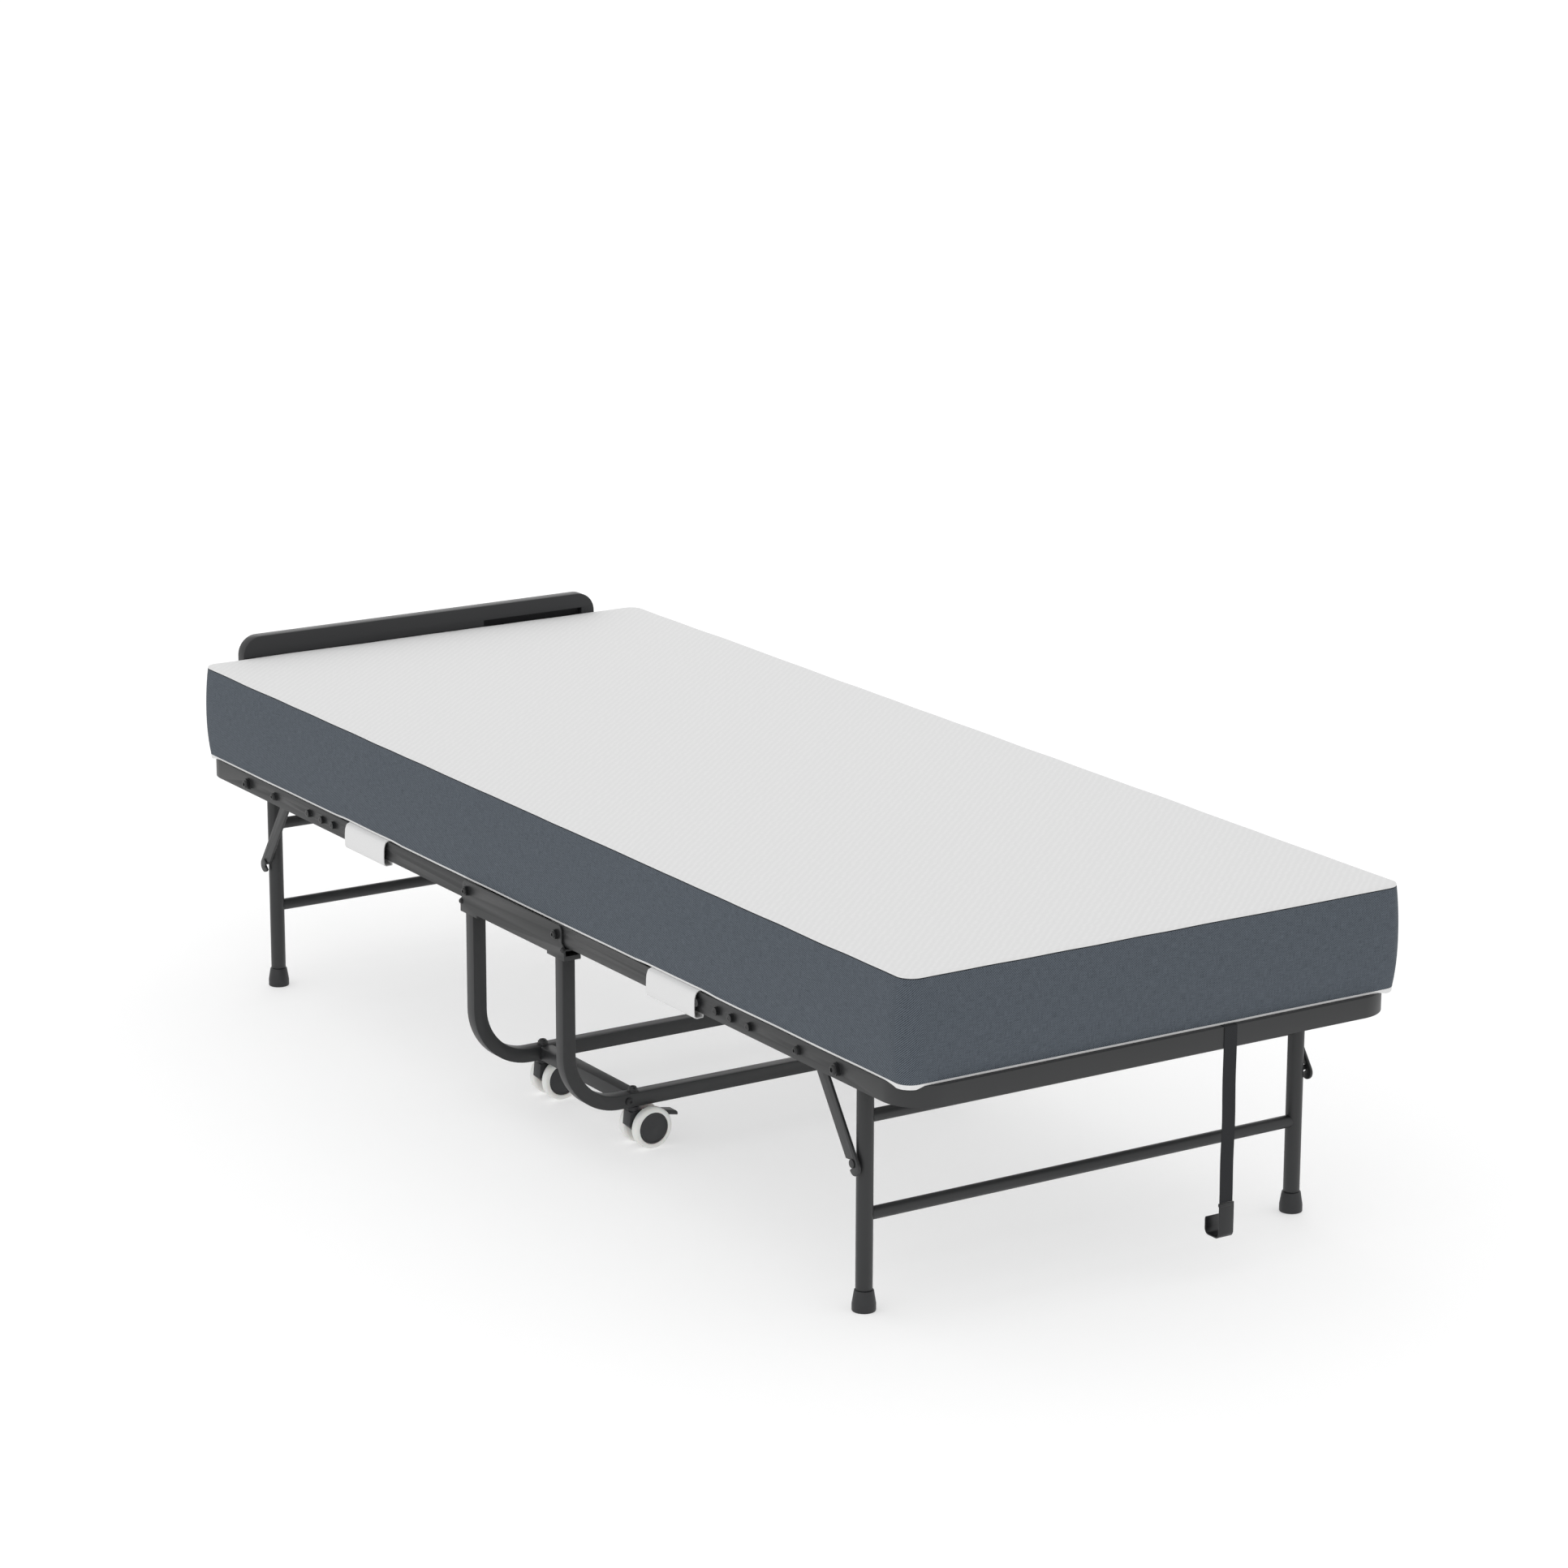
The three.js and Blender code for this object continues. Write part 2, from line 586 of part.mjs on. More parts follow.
for (const end of ['head', 'foot']) {
  for (const outward of [-1, 1]) {
    const side = outward < 0 ? 'left' : 'right';
    const caster = new THREE.Group();
    caster.position.set(outward * casterX, end === 'head' ? pivotY : -pivotY, 0);
    caster.rotation.z = outward < 0 ? 0 : Math.PI;
    node(caster, `${end}_${side}_caster_housing`, casterHousing(), plasticBlack);
    node(caster, `${end}_${side}_caster_wheels`, casterWheels(), wheelGrey);
    node(caster, `${end}_${side}_brake_pedal`, brakePedal(), plasticBlack);
    bed.add(caster);
  }
}

// ---- closing strap and its hook, hanging on the foot rail ---------------------------------------
const strapTop = railBottom - fit;
const strapBottom = strapTop - strapLength;
node(bed, 'closing_strap', block(strapOffset - strapWidth / 2, strapOffset + strapWidth / 2,
  strapY, strapY + strapThickness, strapBottom, strapTop), webbing);

function strapHook() {
  const top = strapBottom - fit;
  const low = top - hookHeight;
  const y = strapY;
  const t = hookPlate;
  const outline = new THREE.Shape();
  outline.moveTo(y, top);
  outline.lineTo(y, low + 6);
  outline.quadraticCurveTo(y, low, y + 6, low);
  outline.lineTo(y + hookDepth - 6, low);
  outline.quadraticCurveTo(y + hookDepth, low, y + hookDepth, low + 6);
  outline.lineTo(y + hookDepth, low + hookLip);
  outline.lineTo(y + hookDepth - t, low + hookLip);
  outline.lineTo(y + hookDepth - t, low + 6);
  outline.quadraticCurveTo(y + hookDepth - t, low + t, y + hookDepth - 6, low + t);
  outline.lineTo(y + 6, low + t);
  outline.quadraticCurveTo(y + t, low + t, y + t, low + 6);
  outline.lineTo(y + t, top);
  return pullX(outline, strapOffset - hookWidth / 2, strapOffset + hookWidth / 2);
}
node(bed, 'strap_hook', strapHook(), hookSteel);

// The origin is under the middle of the whole bed, so the frame moves by half of what the
// headboard adds to its length.
const object = new THREE.Group();
bed.position.y = (frameEnd - headboardBack) / 2;
object.add(bed);
export default object;
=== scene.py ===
# %% [markdown]
# # A folding guest bed
# The bed is a hinged steel frame on a wheeled middle, with a foam mattress on top.
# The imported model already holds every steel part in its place, so this script only has to
# give those parts soft edges and paint, and to make what cloth and rubber do: the mattress,
# the bands that hold it, the strap, the wheels and the bolt heads.

# %% The frame that everything is built around
import json
import math
import bmesh
import bpy
from mathutils import Matrix, Vector, noise

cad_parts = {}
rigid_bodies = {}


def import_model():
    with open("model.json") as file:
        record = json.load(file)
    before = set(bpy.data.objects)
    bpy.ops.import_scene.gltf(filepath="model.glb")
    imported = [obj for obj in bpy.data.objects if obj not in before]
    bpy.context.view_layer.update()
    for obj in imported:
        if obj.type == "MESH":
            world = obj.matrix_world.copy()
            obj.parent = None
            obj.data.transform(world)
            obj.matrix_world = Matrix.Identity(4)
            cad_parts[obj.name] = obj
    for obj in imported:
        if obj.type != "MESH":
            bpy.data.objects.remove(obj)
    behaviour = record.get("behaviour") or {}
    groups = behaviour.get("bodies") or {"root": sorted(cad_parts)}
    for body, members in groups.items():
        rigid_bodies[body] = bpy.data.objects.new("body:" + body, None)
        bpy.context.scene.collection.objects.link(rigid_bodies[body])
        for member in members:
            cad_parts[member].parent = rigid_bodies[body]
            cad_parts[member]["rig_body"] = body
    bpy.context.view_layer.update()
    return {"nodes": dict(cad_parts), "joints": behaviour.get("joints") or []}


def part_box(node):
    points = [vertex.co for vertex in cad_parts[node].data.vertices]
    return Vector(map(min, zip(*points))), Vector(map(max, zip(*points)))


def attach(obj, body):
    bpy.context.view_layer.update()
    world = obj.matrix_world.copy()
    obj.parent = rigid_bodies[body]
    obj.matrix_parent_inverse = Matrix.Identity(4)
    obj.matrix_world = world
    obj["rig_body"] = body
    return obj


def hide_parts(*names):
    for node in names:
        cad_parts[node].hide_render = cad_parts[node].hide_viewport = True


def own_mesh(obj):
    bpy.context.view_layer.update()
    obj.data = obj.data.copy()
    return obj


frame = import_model()
MM = 0.001

# %% [markdown]
# ## Camera
# A long lens far from the bed keeps its long edges nearly parallel. The camera stands at the
# foot end's left corner, at shoulder height, and looks a little down. A small shift puts the
# bed in the frame without turning the camera.

# %% Camera
AZIMUTH = math.radians(32.138)
ELEVATION = math.radians(14.762)
camera = bpy.data.objects.new("camera", bpy.data.cameras.new("camera"))
bpy.context.scene.collection.objects.link(camera)
camera.data.sensor_width = 36.0
camera.data.lens = 107.98
camera.data.shift_x = 0.0336
camera.data.shift_y = -0.00584
camera.data.clip_end = 100.0
camera.location = (-3.4079, -5.3870, 2.1416)
looking = Vector((math.sin(AZIMUTH) * math.cos(ELEVATION),
                  math.cos(AZIMUTH) * math.cos(ELEVATION), -math.sin(ELEVATION)))
camera.rotation_euler = looking.to_track_quat("-Z", "Y").to_euler()
bpy.context.scene.camera = camera
print("camera at", [round(c, 3) for c in camera.location])

# %% [markdown]
# ## Small helpers
# Every piece is a mesh whose object stays at the origin, so its place is in its mesh. One
# helper turns a bmesh into such an object, one turns a hex colour into the linear values
# that shaders want, and one adds a shader node with its settings and its links.

# %% Mesh and node helpers
def piece(name, bm, *materials, smooth=40):
    """A mesh object made from bm, with its materials, smooth except across sharp edges."""
    bmesh.ops.recalc_face_normals(bm, faces=bm.faces)
    mesh = bpy.data.meshes.new(name)
    bm.to_mesh(mesh)
    bm.free()
    for material in materials:
        mesh.materials.append(material)
    obj = bpy.data.objects.new(name, mesh)
    bpy.context.scene.collection.objects.link(obj)
    mesh.shade_smooth()
    mesh.set_sharp_from_angle(angle=math.radians(smooth))
    return obj


def colour(hex_code):
    """sRGB hex to the linear RGBA that a shader socket takes."""
    parts = [int(hex_code[i:i + 2], 16) / 255 for i in (1, 3, 5)]
    linear = [c / 12.92 if c <= 0.04045 else ((c + 0.055) / 1.055) ** 2.4 for c in parts]
    return (*linear, 1.0)


def add(tree, kind, inputs=None, **settings):
    """A new node; an input is a value, or the output socket that feeds it."""
    made = tree.nodes.new(kind)
    for key, value in settings.items():
        setattr(made, key, value)
    for key, value in (inputs or {}).items():
        if isinstance(value, bpy.types.NodeSocket):
            tree.links.new(value, made.inputs[key])
        else:
            made.inputs[key].default_value = value
    return made


def start_material(name, **sockets):
    """A named material with its shader's constants set on the shader's own sockets."""
    material = bpy.data.materials.new(name)
    material.use_nodes = True
    tree = material.node_tree
    shader = tree.nodes["Principled BSDF"]
    for key, value in sockets.items():
        shader.inputs[key.replace("_", " ")].default_value = value
    return material, tree, shader


def per_mm(size):
    """Texture scale for a pattern whose repeat is size millimetres, on coordinates in metres."""
    return 1.0 / (size * MM)


# %% [markdown]
# ## Powder-coated steel
# The tubes, plates and flat bars are mild steel with a satin charcoal powder coat. Powder is
# sprayed dry and melted in an oven, so it flows a little and leaves a faint orange peel, with
# ripples 2 to 3 mm apart. Its gloss is soft and slightly uneven. A noise bump of that size and
# a slow change of roughness are enough; the paint has no grain to follow, so Object
# coordinates do.

# %% Powder coat
def powder_coat(name, shade, light_shade, roughness):
    material, tree, shader = start_material(name, IOR=1.5, Specular_IOR_Level=0.5)
    place = add(tree, "ShaderNodeTexCoord").outputs["Object"]
    cloudy = add(tree, "ShaderNodeTexNoise", {"Vector": place, "Scale": per_mm(140), "Detail": 3.0})
    tint = add(tree, "ShaderNodeValToRGB", {"Fac": cloudy.outputs["Fac"]})
    tint.color_ramp.elements[0].color = colour(shade)
    tint.color_ramp.elements[0].position = 0.3
    tint.color_ramp.elements[1].color = colour(light_shade)
    tint.color_ramp.elements[1].position = 0.75
    tree.links.new(tint.outputs["Color"], shader.inputs["Base Color"])
    gloss = add(tree, "ShaderNodeMapRange", {"Value": cloudy.outputs["Fac"],
                                             "To Min": roughness - 0.05,
                                             "To Max": roughness + 0.07})
    tree.links.new(gloss.outputs["Result"], shader.inputs["Roughness"])
    peel = add(tree, "ShaderNodeTexNoise", {"Vector": place, "Scale": per_mm(2.6), "Detail": 2.0})
    bump = add(tree, "ShaderNodeBump", {"Height": peel.outputs["Fac"], "Strength": 0.12,
                                        "Distance": 0.15 * MM})
    tree.links.new(bump.outputs["Normal"], shader.inputs["Normal"])
    return material


powder_coated_steel = powder_coat("powder_coated_steel", "#212223", "#252627", 0.44)
powder_coated_sheet = powder_coat("powder_coated_sheet", "#17181a", "#1b1c1e", 0.5)
black_oxide_steel = powder_coat("black_oxide_steel", "#121314", "#17181a", 0.36)
# near-black paint for the bolts' socket floors: painted shade standing in for the depth of the hex
# hole
socket_painted_shade = powder_coat("socket_painted_shade", "#070708", "#0b0b0c", 0.7)

# %% [markdown]
# ## Moulded plastics
# Leg ends, caster housings and pedals are black polypropylene from a spark-eroded mould: even,
# dull and finely pitted. The wheels have an off-white polyurethane tread, which is smoother
# and lets a little light in.

# %% Plastics
def moulded(name, shade, roughness, pit_mm, depth, **extra):
    material, tree, shader = start_material(name, Roughness=roughness, IOR=1.49, **extra)
    place = add(tree, "ShaderNodeTexCoord").outputs["Object"]
    pits = add(tree, "ShaderNodeTexNoise", {"Vector": place, "Scale": per_mm(pit_mm),
                                            "Detail": 2.0})
    flow = add(tree, "ShaderNodeTexNoise", {"Vector": place, "Scale": per_mm(30)})
    tone = add(tree, "ShaderNodeMix", {"Factor": flow.outputs["Fac"]}, data_type="RGBA")
    tone.inputs["A"].default_value = colour(shade)
    tone.inputs["B"].default_value = [min(1, c * 1.12) for c in colour(shade)[:3]] + [1.0]
    tree.links.new(tone.outputs["Result"], shader.inputs["Base Color"])
    bump = add(tree, "ShaderNodeBump", {"Height": pits.outputs["Fac"], "Strength": 0.25,
                                        "Distance": depth * MM})
    tree.links.new(bump.outputs["Normal"], shader.inputs["Normal"])
    return material


polypropylene = moulded("black_polypropylene", "#1f2022", 0.5, 0.8, 0.12)
hub_polypropylene = moulded("hub_polypropylene", "#242527", 0.42, 0.8, 0.06)
polyurethane = moulded("offwhite_polyurethane", "#dededb", 0.42, 1.5, 0.04,
                       Subsurface_Weight=0.08)

# %% [markdown]
# ## Cloths
# The mattress is boxed in a blue-grey melange twill: dark and light yarns, with fine diagonal
# ribs and short slubs along both thread directions. Its pattern follows the cloth, so it
# reads the piece's own UV map, which is laid out in metres. The ribs are about 2 mm apart,
# a little coarser than the real ones, so that they still show.
# The top is a white knit with low diagonal ribs about 9 mm apart, broken into short lumps.

# %% Melange twill and white knit
def wave(tree, vector, angle, spacing_mm, wobble=0.0):
    """Straight ribs on a UV map in metres, turned by angle and spacing_mm apart."""
    turned = add(tree, "ShaderNodeMapping", {"Vector": vector,
                                             "Rotation": (0.0, 0.0, math.radians(angle))})
    # a Wave texture of scale 1 repeats every 2 pi / 20 units
    scale = per_mm(spacing_mm) * math.tau / 20
    return add(tree, "ShaderNodeTexWave", {"Vector": turned.outputs["Vector"], "Scale": scale,
                                           "Distortion": wobble, "Detail": 1.0,
                                           "Detail Scale": 1.5})


def slubs(tree, vector, along_mm, across_mm):
    """Streaks of uneven yarn: a noise drawn out along one thread direction."""
    stretched = add(tree, "ShaderNodeMapping", {"Vector": vector,
                                                "Scale": (per_mm(along_mm), per_mm(across_mm), 1)})
    return add(tree, "ShaderNodeTexNoise", {"Vector": stretched.outputs["Vector"], "Scale": 1.0,
                                            "Detail": 2.0, "Roughness": 0.6})


def mix_maths(tree, operation, a, b):
    return add(tree, "ShaderNodeMath", {0: a, 1: b}, operation=operation).outputs["Value"]


def melange_twill():
    material, tree, shader = start_material("melange_twill", Roughness=0.9, IOR=1.45,
                                            Specular_IOR_Level=0.1, Sheen_Weight=0.06,
                                            Sheen_Roughness=0.5)
    cloth = add(tree, "ShaderNodeUVMap", uv_map="cloth").outputs["UV"]
    ribs = wave(tree, cloth, 45, 2.1, 0.6).outputs["Fac"]
    weft = slubs(tree, cloth, 14, 0.9).outputs["Fac"]
    warp = slubs(tree, cloth, 0.9, 14).outputs["Fac"]
    yarn = mix_maths(tree, "ADD", mix_maths(tree, "MULTIPLY", weft, 0.5),
                     mix_maths(tree, "MULTIPLY", warp, 0.5))
    tone = mix_maths(tree, "ADD", mix_maths(tree, "MULTIPLY", yarn, 0.65),
                     mix_maths(tree, "MULTIPLY", ribs, 0.35))
    ramp = add(tree, "ShaderNodeValToRGB", {"Fac": tone})
    ramp.color_ramp.elements[0].position = 0.28
    ramp.color_ramp.elements[0].color = colour("#30353b")
    ramp.color_ramp.elements[1].position = 0.68
    ramp.color_ramp.elements[1].color = colour("#626971")
    tree.links.new(ramp.outputs["Color"], shader.inputs["Base Color"])
    bump = add(tree, "ShaderNodeBump", {"Height": ribs, "Strength": 0.35, "Distance": 0.3 * MM})
    tree.links.new(bump.outputs["Normal"], shader.inputs["Normal"])
    return material


def white_knit(name, shade, light_shade, rib_mm, depth):
    material, tree, shader = start_material(name, Roughness=0.92, IOR=1.45,
                                            Specular_IOR_Level=0.1, Sheen_Weight=0.05,
                                            Sheen_Roughness=0.5)
    cloth = add(tree, "ShaderNodeUVMap", uv_map="cloth").outputs["UV"]
    ribs = wave(tree, cloth, 47, rib_mm, 2.5).outputs["Fac"]
    lumps = add(tree, "ShaderNodeTexNoise", {"Vector": cloth, "Scale": per_mm(rib_mm * 0.9),
                                             "Detail": 1.0}).outputs["Fac"]
    relief = mix_maths(tree, "MULTIPLY", ribs, lumps)
    tone = add(tree, "ShaderNodeValToRGB", {"Fac": relief})
    tone.color_ramp.elements[0].position = 0.1
    tone.color_ramp.elements[0].color = colour(shade)
    tone.color_ramp.elements[1].position = 0.6
    tone.color_ramp.elements[1].color = colour(light_shade)
    tree.links.new(tone.outputs["Color"], shader.inputs["Base Color"])
    bump = add(tree, "ShaderNodeBump", {"Height": relief, "Strength": 0.4,
                                        "Distance": depth * MM})
    tree.links.new(bump.outputs["Normal"], shader.inputs["Normal"])
    return material


def webbing(name, shade, light_shade, rib_mm):
    material, tree, shader = start_material(name, Roughness=0.8, IOR=1.45,
                                            Specular_IOR_Level=0.25)
    cloth = add(tree, "ShaderNodeUVMap", uv_map="cloth").outputs["UV"]
    left = wave(tree, cloth, 35, rib_mm).outputs["Fac"]
    right = wave(tree, cloth, -35, rib_mm).outputs["Fac"]
    weave = mix_maths(tree, "MAXIMUM", left, right)
    tone = add(tree, "ShaderNodeMix", {"Factor": weave}, data_type="RGBA")
    tone.inputs["A"].default_value = colour(shade)
    tone.inputs["B"].default_value = colour(light_shade)
    tree.links.new(tone.outputs["Result"], shader.inputs["Base Color"])
    bump = add(tree, "ShaderNodeBump", {"Height": weave, "Strength": 0.4, "Distance": 0.25 * MM})
    tree.links.new(bump.outputs["Normal"], shader.inputs["Normal"])
    return material


twill = melange_twill()
top_knit = white_knit("white_knit", "#dadada", "#dedede", 9.0, 0.22)
band_cloth = white_knit("white_band_cloth", "#d8d8d8", "#e0e0e0", 1.6, 0.15)
seam_thread = webbing("dark_seam_thread", "#15171b", "#24272c", 1.2)
strap_webbing = webbing("black_webbing", "#202123", "#2c2d2f", 2.0)

# %% [markdown]
# ## The closing strap
# A flat black webbing strap hangs from the foot rail and ends in a bent steel hook, which
# catches the other half when the bed is folded. It hangs free, so it is a cord: a flat one,
# 20 mm wide. A ribbon is one row of quads pulled down step by step and given its thickness.
# It is not quite straight, because webbing remembers how it was wound.

# %% Strap
strap_low, strap_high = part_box("closing_strap")
STRAP_WIDTH = strap_high.x - strap_low.x
STRAP_THICK = strap_high.y - strap_low.y
strap_x = (strap_low.x + strap_high.x) / 2
strap_y = (strap_low.y + strap_high.y) / 2
strap_length = strap_high.z - strap_low.z


def ribbon(name, path, across, thickness, material, width_steps=4):
    """A band of cloth along path: a row of edges pulled from point to point, then given its
    thickness. across is half the band's width, as a vector."""
    path = [Vector(point) for point in path]
    bm = bmesh.new()
    row = [bm.verts.new(path[0] + across * (2 * i / width_steps - 1))
           for i in range(width_steps + 1)]
    edges = [bm.edges.new(pair) for pair in zip(row, row[1:])]
    for here, there in zip(path, path[1:]):
        pulled = bmesh.ops.extrude_edge_only(bm, edges=edges)["geom"]
        bmesh.ops.translate(bm, vec=there - here,
                            verts=[v for v in pulled if isinstance(v, bmesh.types.BMVert)])
        edges = [e for e in pulled if isinstance(e, bmesh.types.BMEdge)]
    bmesh.ops.recalc_face_normals(bm, faces=bm.faces)
    bmesh.ops.solidify(bm, geom=bm.faces[:], thickness=thickness)
    lengths = [0.0]
    for here, there in zip(path, path[1:]):
        lengths.append(lengths[-1] + (there - here).length)
    side = across.normalized()
    flat = [point - side * point.dot(side) for point in path]
    uv = bm.loops.layers.uv.new("cloth")
    for vert in bm.verts:
        level = vert.co - side * vert.co.dot(side)
        nearest = min(range(len(flat)), key=lambda i: (flat[i] - level).length)
        for loop in vert.link_loops:
            loop[uv].uv = (vert.co.dot(side), lengths[nearest])
    return piece(name, bm, material, smooth=50)


STRAP_STEPS = 24
strap_path = []
for i in range(STRAP_STEPS + 1):
    share = i / STRAP_STEPS
    sway = 0.8 * MM * math.sin(math.pi * share) * math.sin(3.2 * math.pi * share)
    strap_path.append((strap_x, strap_y + sway, strap_high.z - share * strap_length))
strap = ribbon("strap_hanging", strap_path, Vector((STRAP_WIDTH / 2, 0, 0)), STRAP_THICK,
               strap_webbing)
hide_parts("closing_strap")
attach(strap, "strap")
print("strap", round(strap_length, 4), "m long")

# %% [markdown]
# The strap's other end is not a hanging piece: it lies on top of the foot rail, pinched under
# the mattress, and turns down over the rail's edge to meet the hanging part. It rides on the
# foot section, so it stays there when the strap swings.

# %% Strap over the foot rail
rail_low, rail_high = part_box("foot_rail")
loop_path = [(strap_x, rail_low.y + 0.016, rail_high.z + 0.9 * MM),
             (strap_x, rail_low.y + 0.008, rail_high.z + 0.9 * MM),
             (strap_x, rail_low.y + 0.002, rail_high.z + 0.8 * MM)]
for i in range(6):
    turn = math.radians(90 * i / 5)
    loop_path.append((strap_x, rail_low.y + 1.0 * MM - 2.0 * MM * math.sin(turn),
                      rail_high.z - 1.4 * MM + 2.0 * MM * math.cos(turn)))
loop_path += [(strap_x, strap_y, z * MM) for z in (333, 326, 318)]
loop_path.append((strap_x, strap_y, strap_high.z))
strap_loop = ribbon("strap_over_rail", loop_path, Vector((STRAP_WIDTH / 2, 0, 0)),
                    STRAP_THICK, strap_webbing)
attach(strap_loop, "foot_section")

# %% [markdown]
# The hook is one strip of 2 mm steel: a front plate with a slot for the webbing, a rounded
# bend under it and a short lip. The strip's side view is a few edges pulled across its width,
# solidified and bevelled; the slot is a raised bar across the top, where the webbing is sewn
# round it.

# %% Hook
hook_low, hook_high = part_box("strap_hook")
HOOK_SHEET = 2.0 * MM


def hook_line():
    """The hook's side view, from the top of its front plate to the end of its lip."""
    near, far, low = hook_low.y + HOOK_SHEET / 2, hook_high.y - HOOK_SHEET / 2, hook_low.z
    bend = 6 * MM
    line = [(near, hook_high.z), (near, low + bend + 12 * MM)]
    for i in range(7):
        turn = math.radians(90 * i / 6)
        line.append((near + bend * (1 - math.cos(turn)),
                     low + HOOK_SHEET / 2 + bend * (1 - math.sin(turn))))
    for i in range(7):
        turn = math.radians(90 * i / 6)
        line.append((far - bend * (1 - math.sin(turn)),
                     low + HOOK_SHEET / 2 + bend * (1 - math.cos(turn))))
    return line + [(far, low + 19 * MM), (far - 1.0 * MM, low + 21.5 * MM)]


def bent_sheet(line, x0, x1, thickness, bevel):
    bm = bmesh.new()
    verts = [bm.verts.new((x0, y, z)) for y, z in line]
    edges = [bm.edges.new(pair) for pair in zip(verts, verts[1:])]
    pulled = bmesh.ops.extrude_edge_only(bm, edges=edges)["geom"]
    bmesh.ops.translate(bm, vec=(x1 - x0, 0, 0),
                        verts=[v for v in pulled if isinstance(v, bmesh.types.BMVert)])
    bmesh.ops.recalc_face_normals(bm, faces=bm.faces)
    bmesh.ops.solidify(bm, geom=bm.faces[:], thickness=thickness)
    middle = sum((v.co for v in bm.verts), Vector()) / len(bm.verts)
    spread = sum(abs(v.co.y - min(line, key=lambda p: (p[0] - v.co.y) ** 2
                                  + (p[1] - v.co.z) ** 2)[0]) for v in bm.verts)
    sharp = [e for e in bm.edges if len(e.link_faces) == 2
             and e.calc_face_angle(0) > math.radians(60)]
    bmesh.ops.bevel(bm, geom=sharp, offset=bevel, segments=2, affect="EDGES", profile=0.5,
                    material=-1)
    return bm


hook_bm = bent_sheet(hook_line(), hook_low.x, hook_high.x, -HOOK_SHEET, 0.5 * MM)
bar_size = (hook_high.x - hook_low.x, 4.2 * MM, 5.0 * MM)
bar = bmesh.ops.create_cube(hook_bm, size=1.0)["verts"]
bmesh.ops.scale(hook_bm, vec=bar_size, verts=bar)
bmesh.ops.translate(hook_bm, verts=bar, vec=((hook_low.x + hook_high.x) / 2,
                                             hook_low.y + 0.8 * MM, hook_high.z - 2.6 * MM))
bmesh.ops.bevel(hook_bm, geom=list({e for v in bar for e in v.link_edges}), offset=1.0 * MM,
                segments=3, affect="EDGES", profile=0.5, material=-1)
hook = piece("strap_hook_sheet", hook_bm, black_oxide_steel)
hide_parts("strap_hook")
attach(hook, "strap")
print("hook", [round(c / MM, 1) for c in hook_high - hook_low], "mm")

# %% [markdown]
# ## Softening the steel parts
# A pressed or sawn edge is never perfectly sharp: the rectangular tube has 2 mm corner radii
# and the plates are tumbled before painting. Each CAD part's mesh is copied, its loose
# triangles are joined and its flat faces dissolved, and a small bevel rounds its edges. The
# copy stands for the CAD part, at exactly the same place.

# %% Steel and plastic parts from the CAD
def softened(node, material, bevel_mm, segments=2):
    source = frame["nodes"][node]
    bm = bmesh.new()
    bm.from_mesh(source.data)
    bmesh.ops.remove_doubles(bm, verts=bm.verts, dist=0.002 * MM)
    bmesh.ops.dissolve_limit(bm, angle_limit=math.radians(0.6), verts=bm.verts, edges=bm.edges)
    sharp = [e for e in bm.edges if len(e.link_faces) == 2
             and e.calc_face_angle(0) > math.radians(35)]
    if bevel_mm:
        bmesh.ops.bevel(bm, geom=sharp, offset=bevel_mm * MM, segments=segments,
                        affect="EDGES", profile=0.5, material=-1, clamp_overlap=True)
    mesh = bpy.data.meshes.new(node + "_soft")
    bm.to_mesh(mesh)
    bm.free()
    mesh.materials.append(material)
    mesh.shade_smooth()
    mesh.set_sharp_from_angle(angle=math.radians(38))
    copy = bpy.data.objects.new(node + "_soft", mesh)
    bpy.context.scene.collection.objects.link(copy)
    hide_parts(node)
    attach(copy, source["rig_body"])
    return copy


SOFT_PARTS = {
    "_rail": (powder_coated_steel, "frame_coat", 1.6),
    "_deck": (powder_coated_sheet, "dark_coat", 0.0),
    "_leg": (powder_coated_steel, "dark_coat", 0.4),
    "_foot": (polypropylene, "black_plastic", 1.2),
    "_brace_arm": (powder_coated_steel, "frame_coat", 0.5),
    "_leg_bar_upper": (powder_coated_steel, "dark_coat", 0.0),
    "_leg_bar_lower": (powder_coated_steel, "dark_coat", 0.0),
    "_centre_bracket": (powder_coated_steel, "frame_coat", 0.45),
    "_wheel_loop": (powder_coated_steel, "dark_coat", 1.2),
    "_wheel_beam": (powder_coated_steel, "frame_coat", 1.5),
    "_caster_housing": (polypropylene, "black_plastic", 0.5),
    "_brake_pedal": (polypropylene, "black_plastic", 0.7),
    "_leg_bolt": (black_oxide_steel, "bolt_steel", 0.0),
    "_leg_clip": (black_oxide_steel, "bolt_steel", 0.0),
    "_pivot_bolt": (black_oxide_steel, "bolt_steel", 0.0),
    "headboard": (powder_coated_sheet, "dark_coat", 0.6),
}
for node_name in sorted(frame["nodes"]):
    for ending, (paint, slot_name, bevel_mm) in SOFT_PARTS.items():
        if node_name.endswith(ending):
            softened(node_name, paint, bevel_mm)
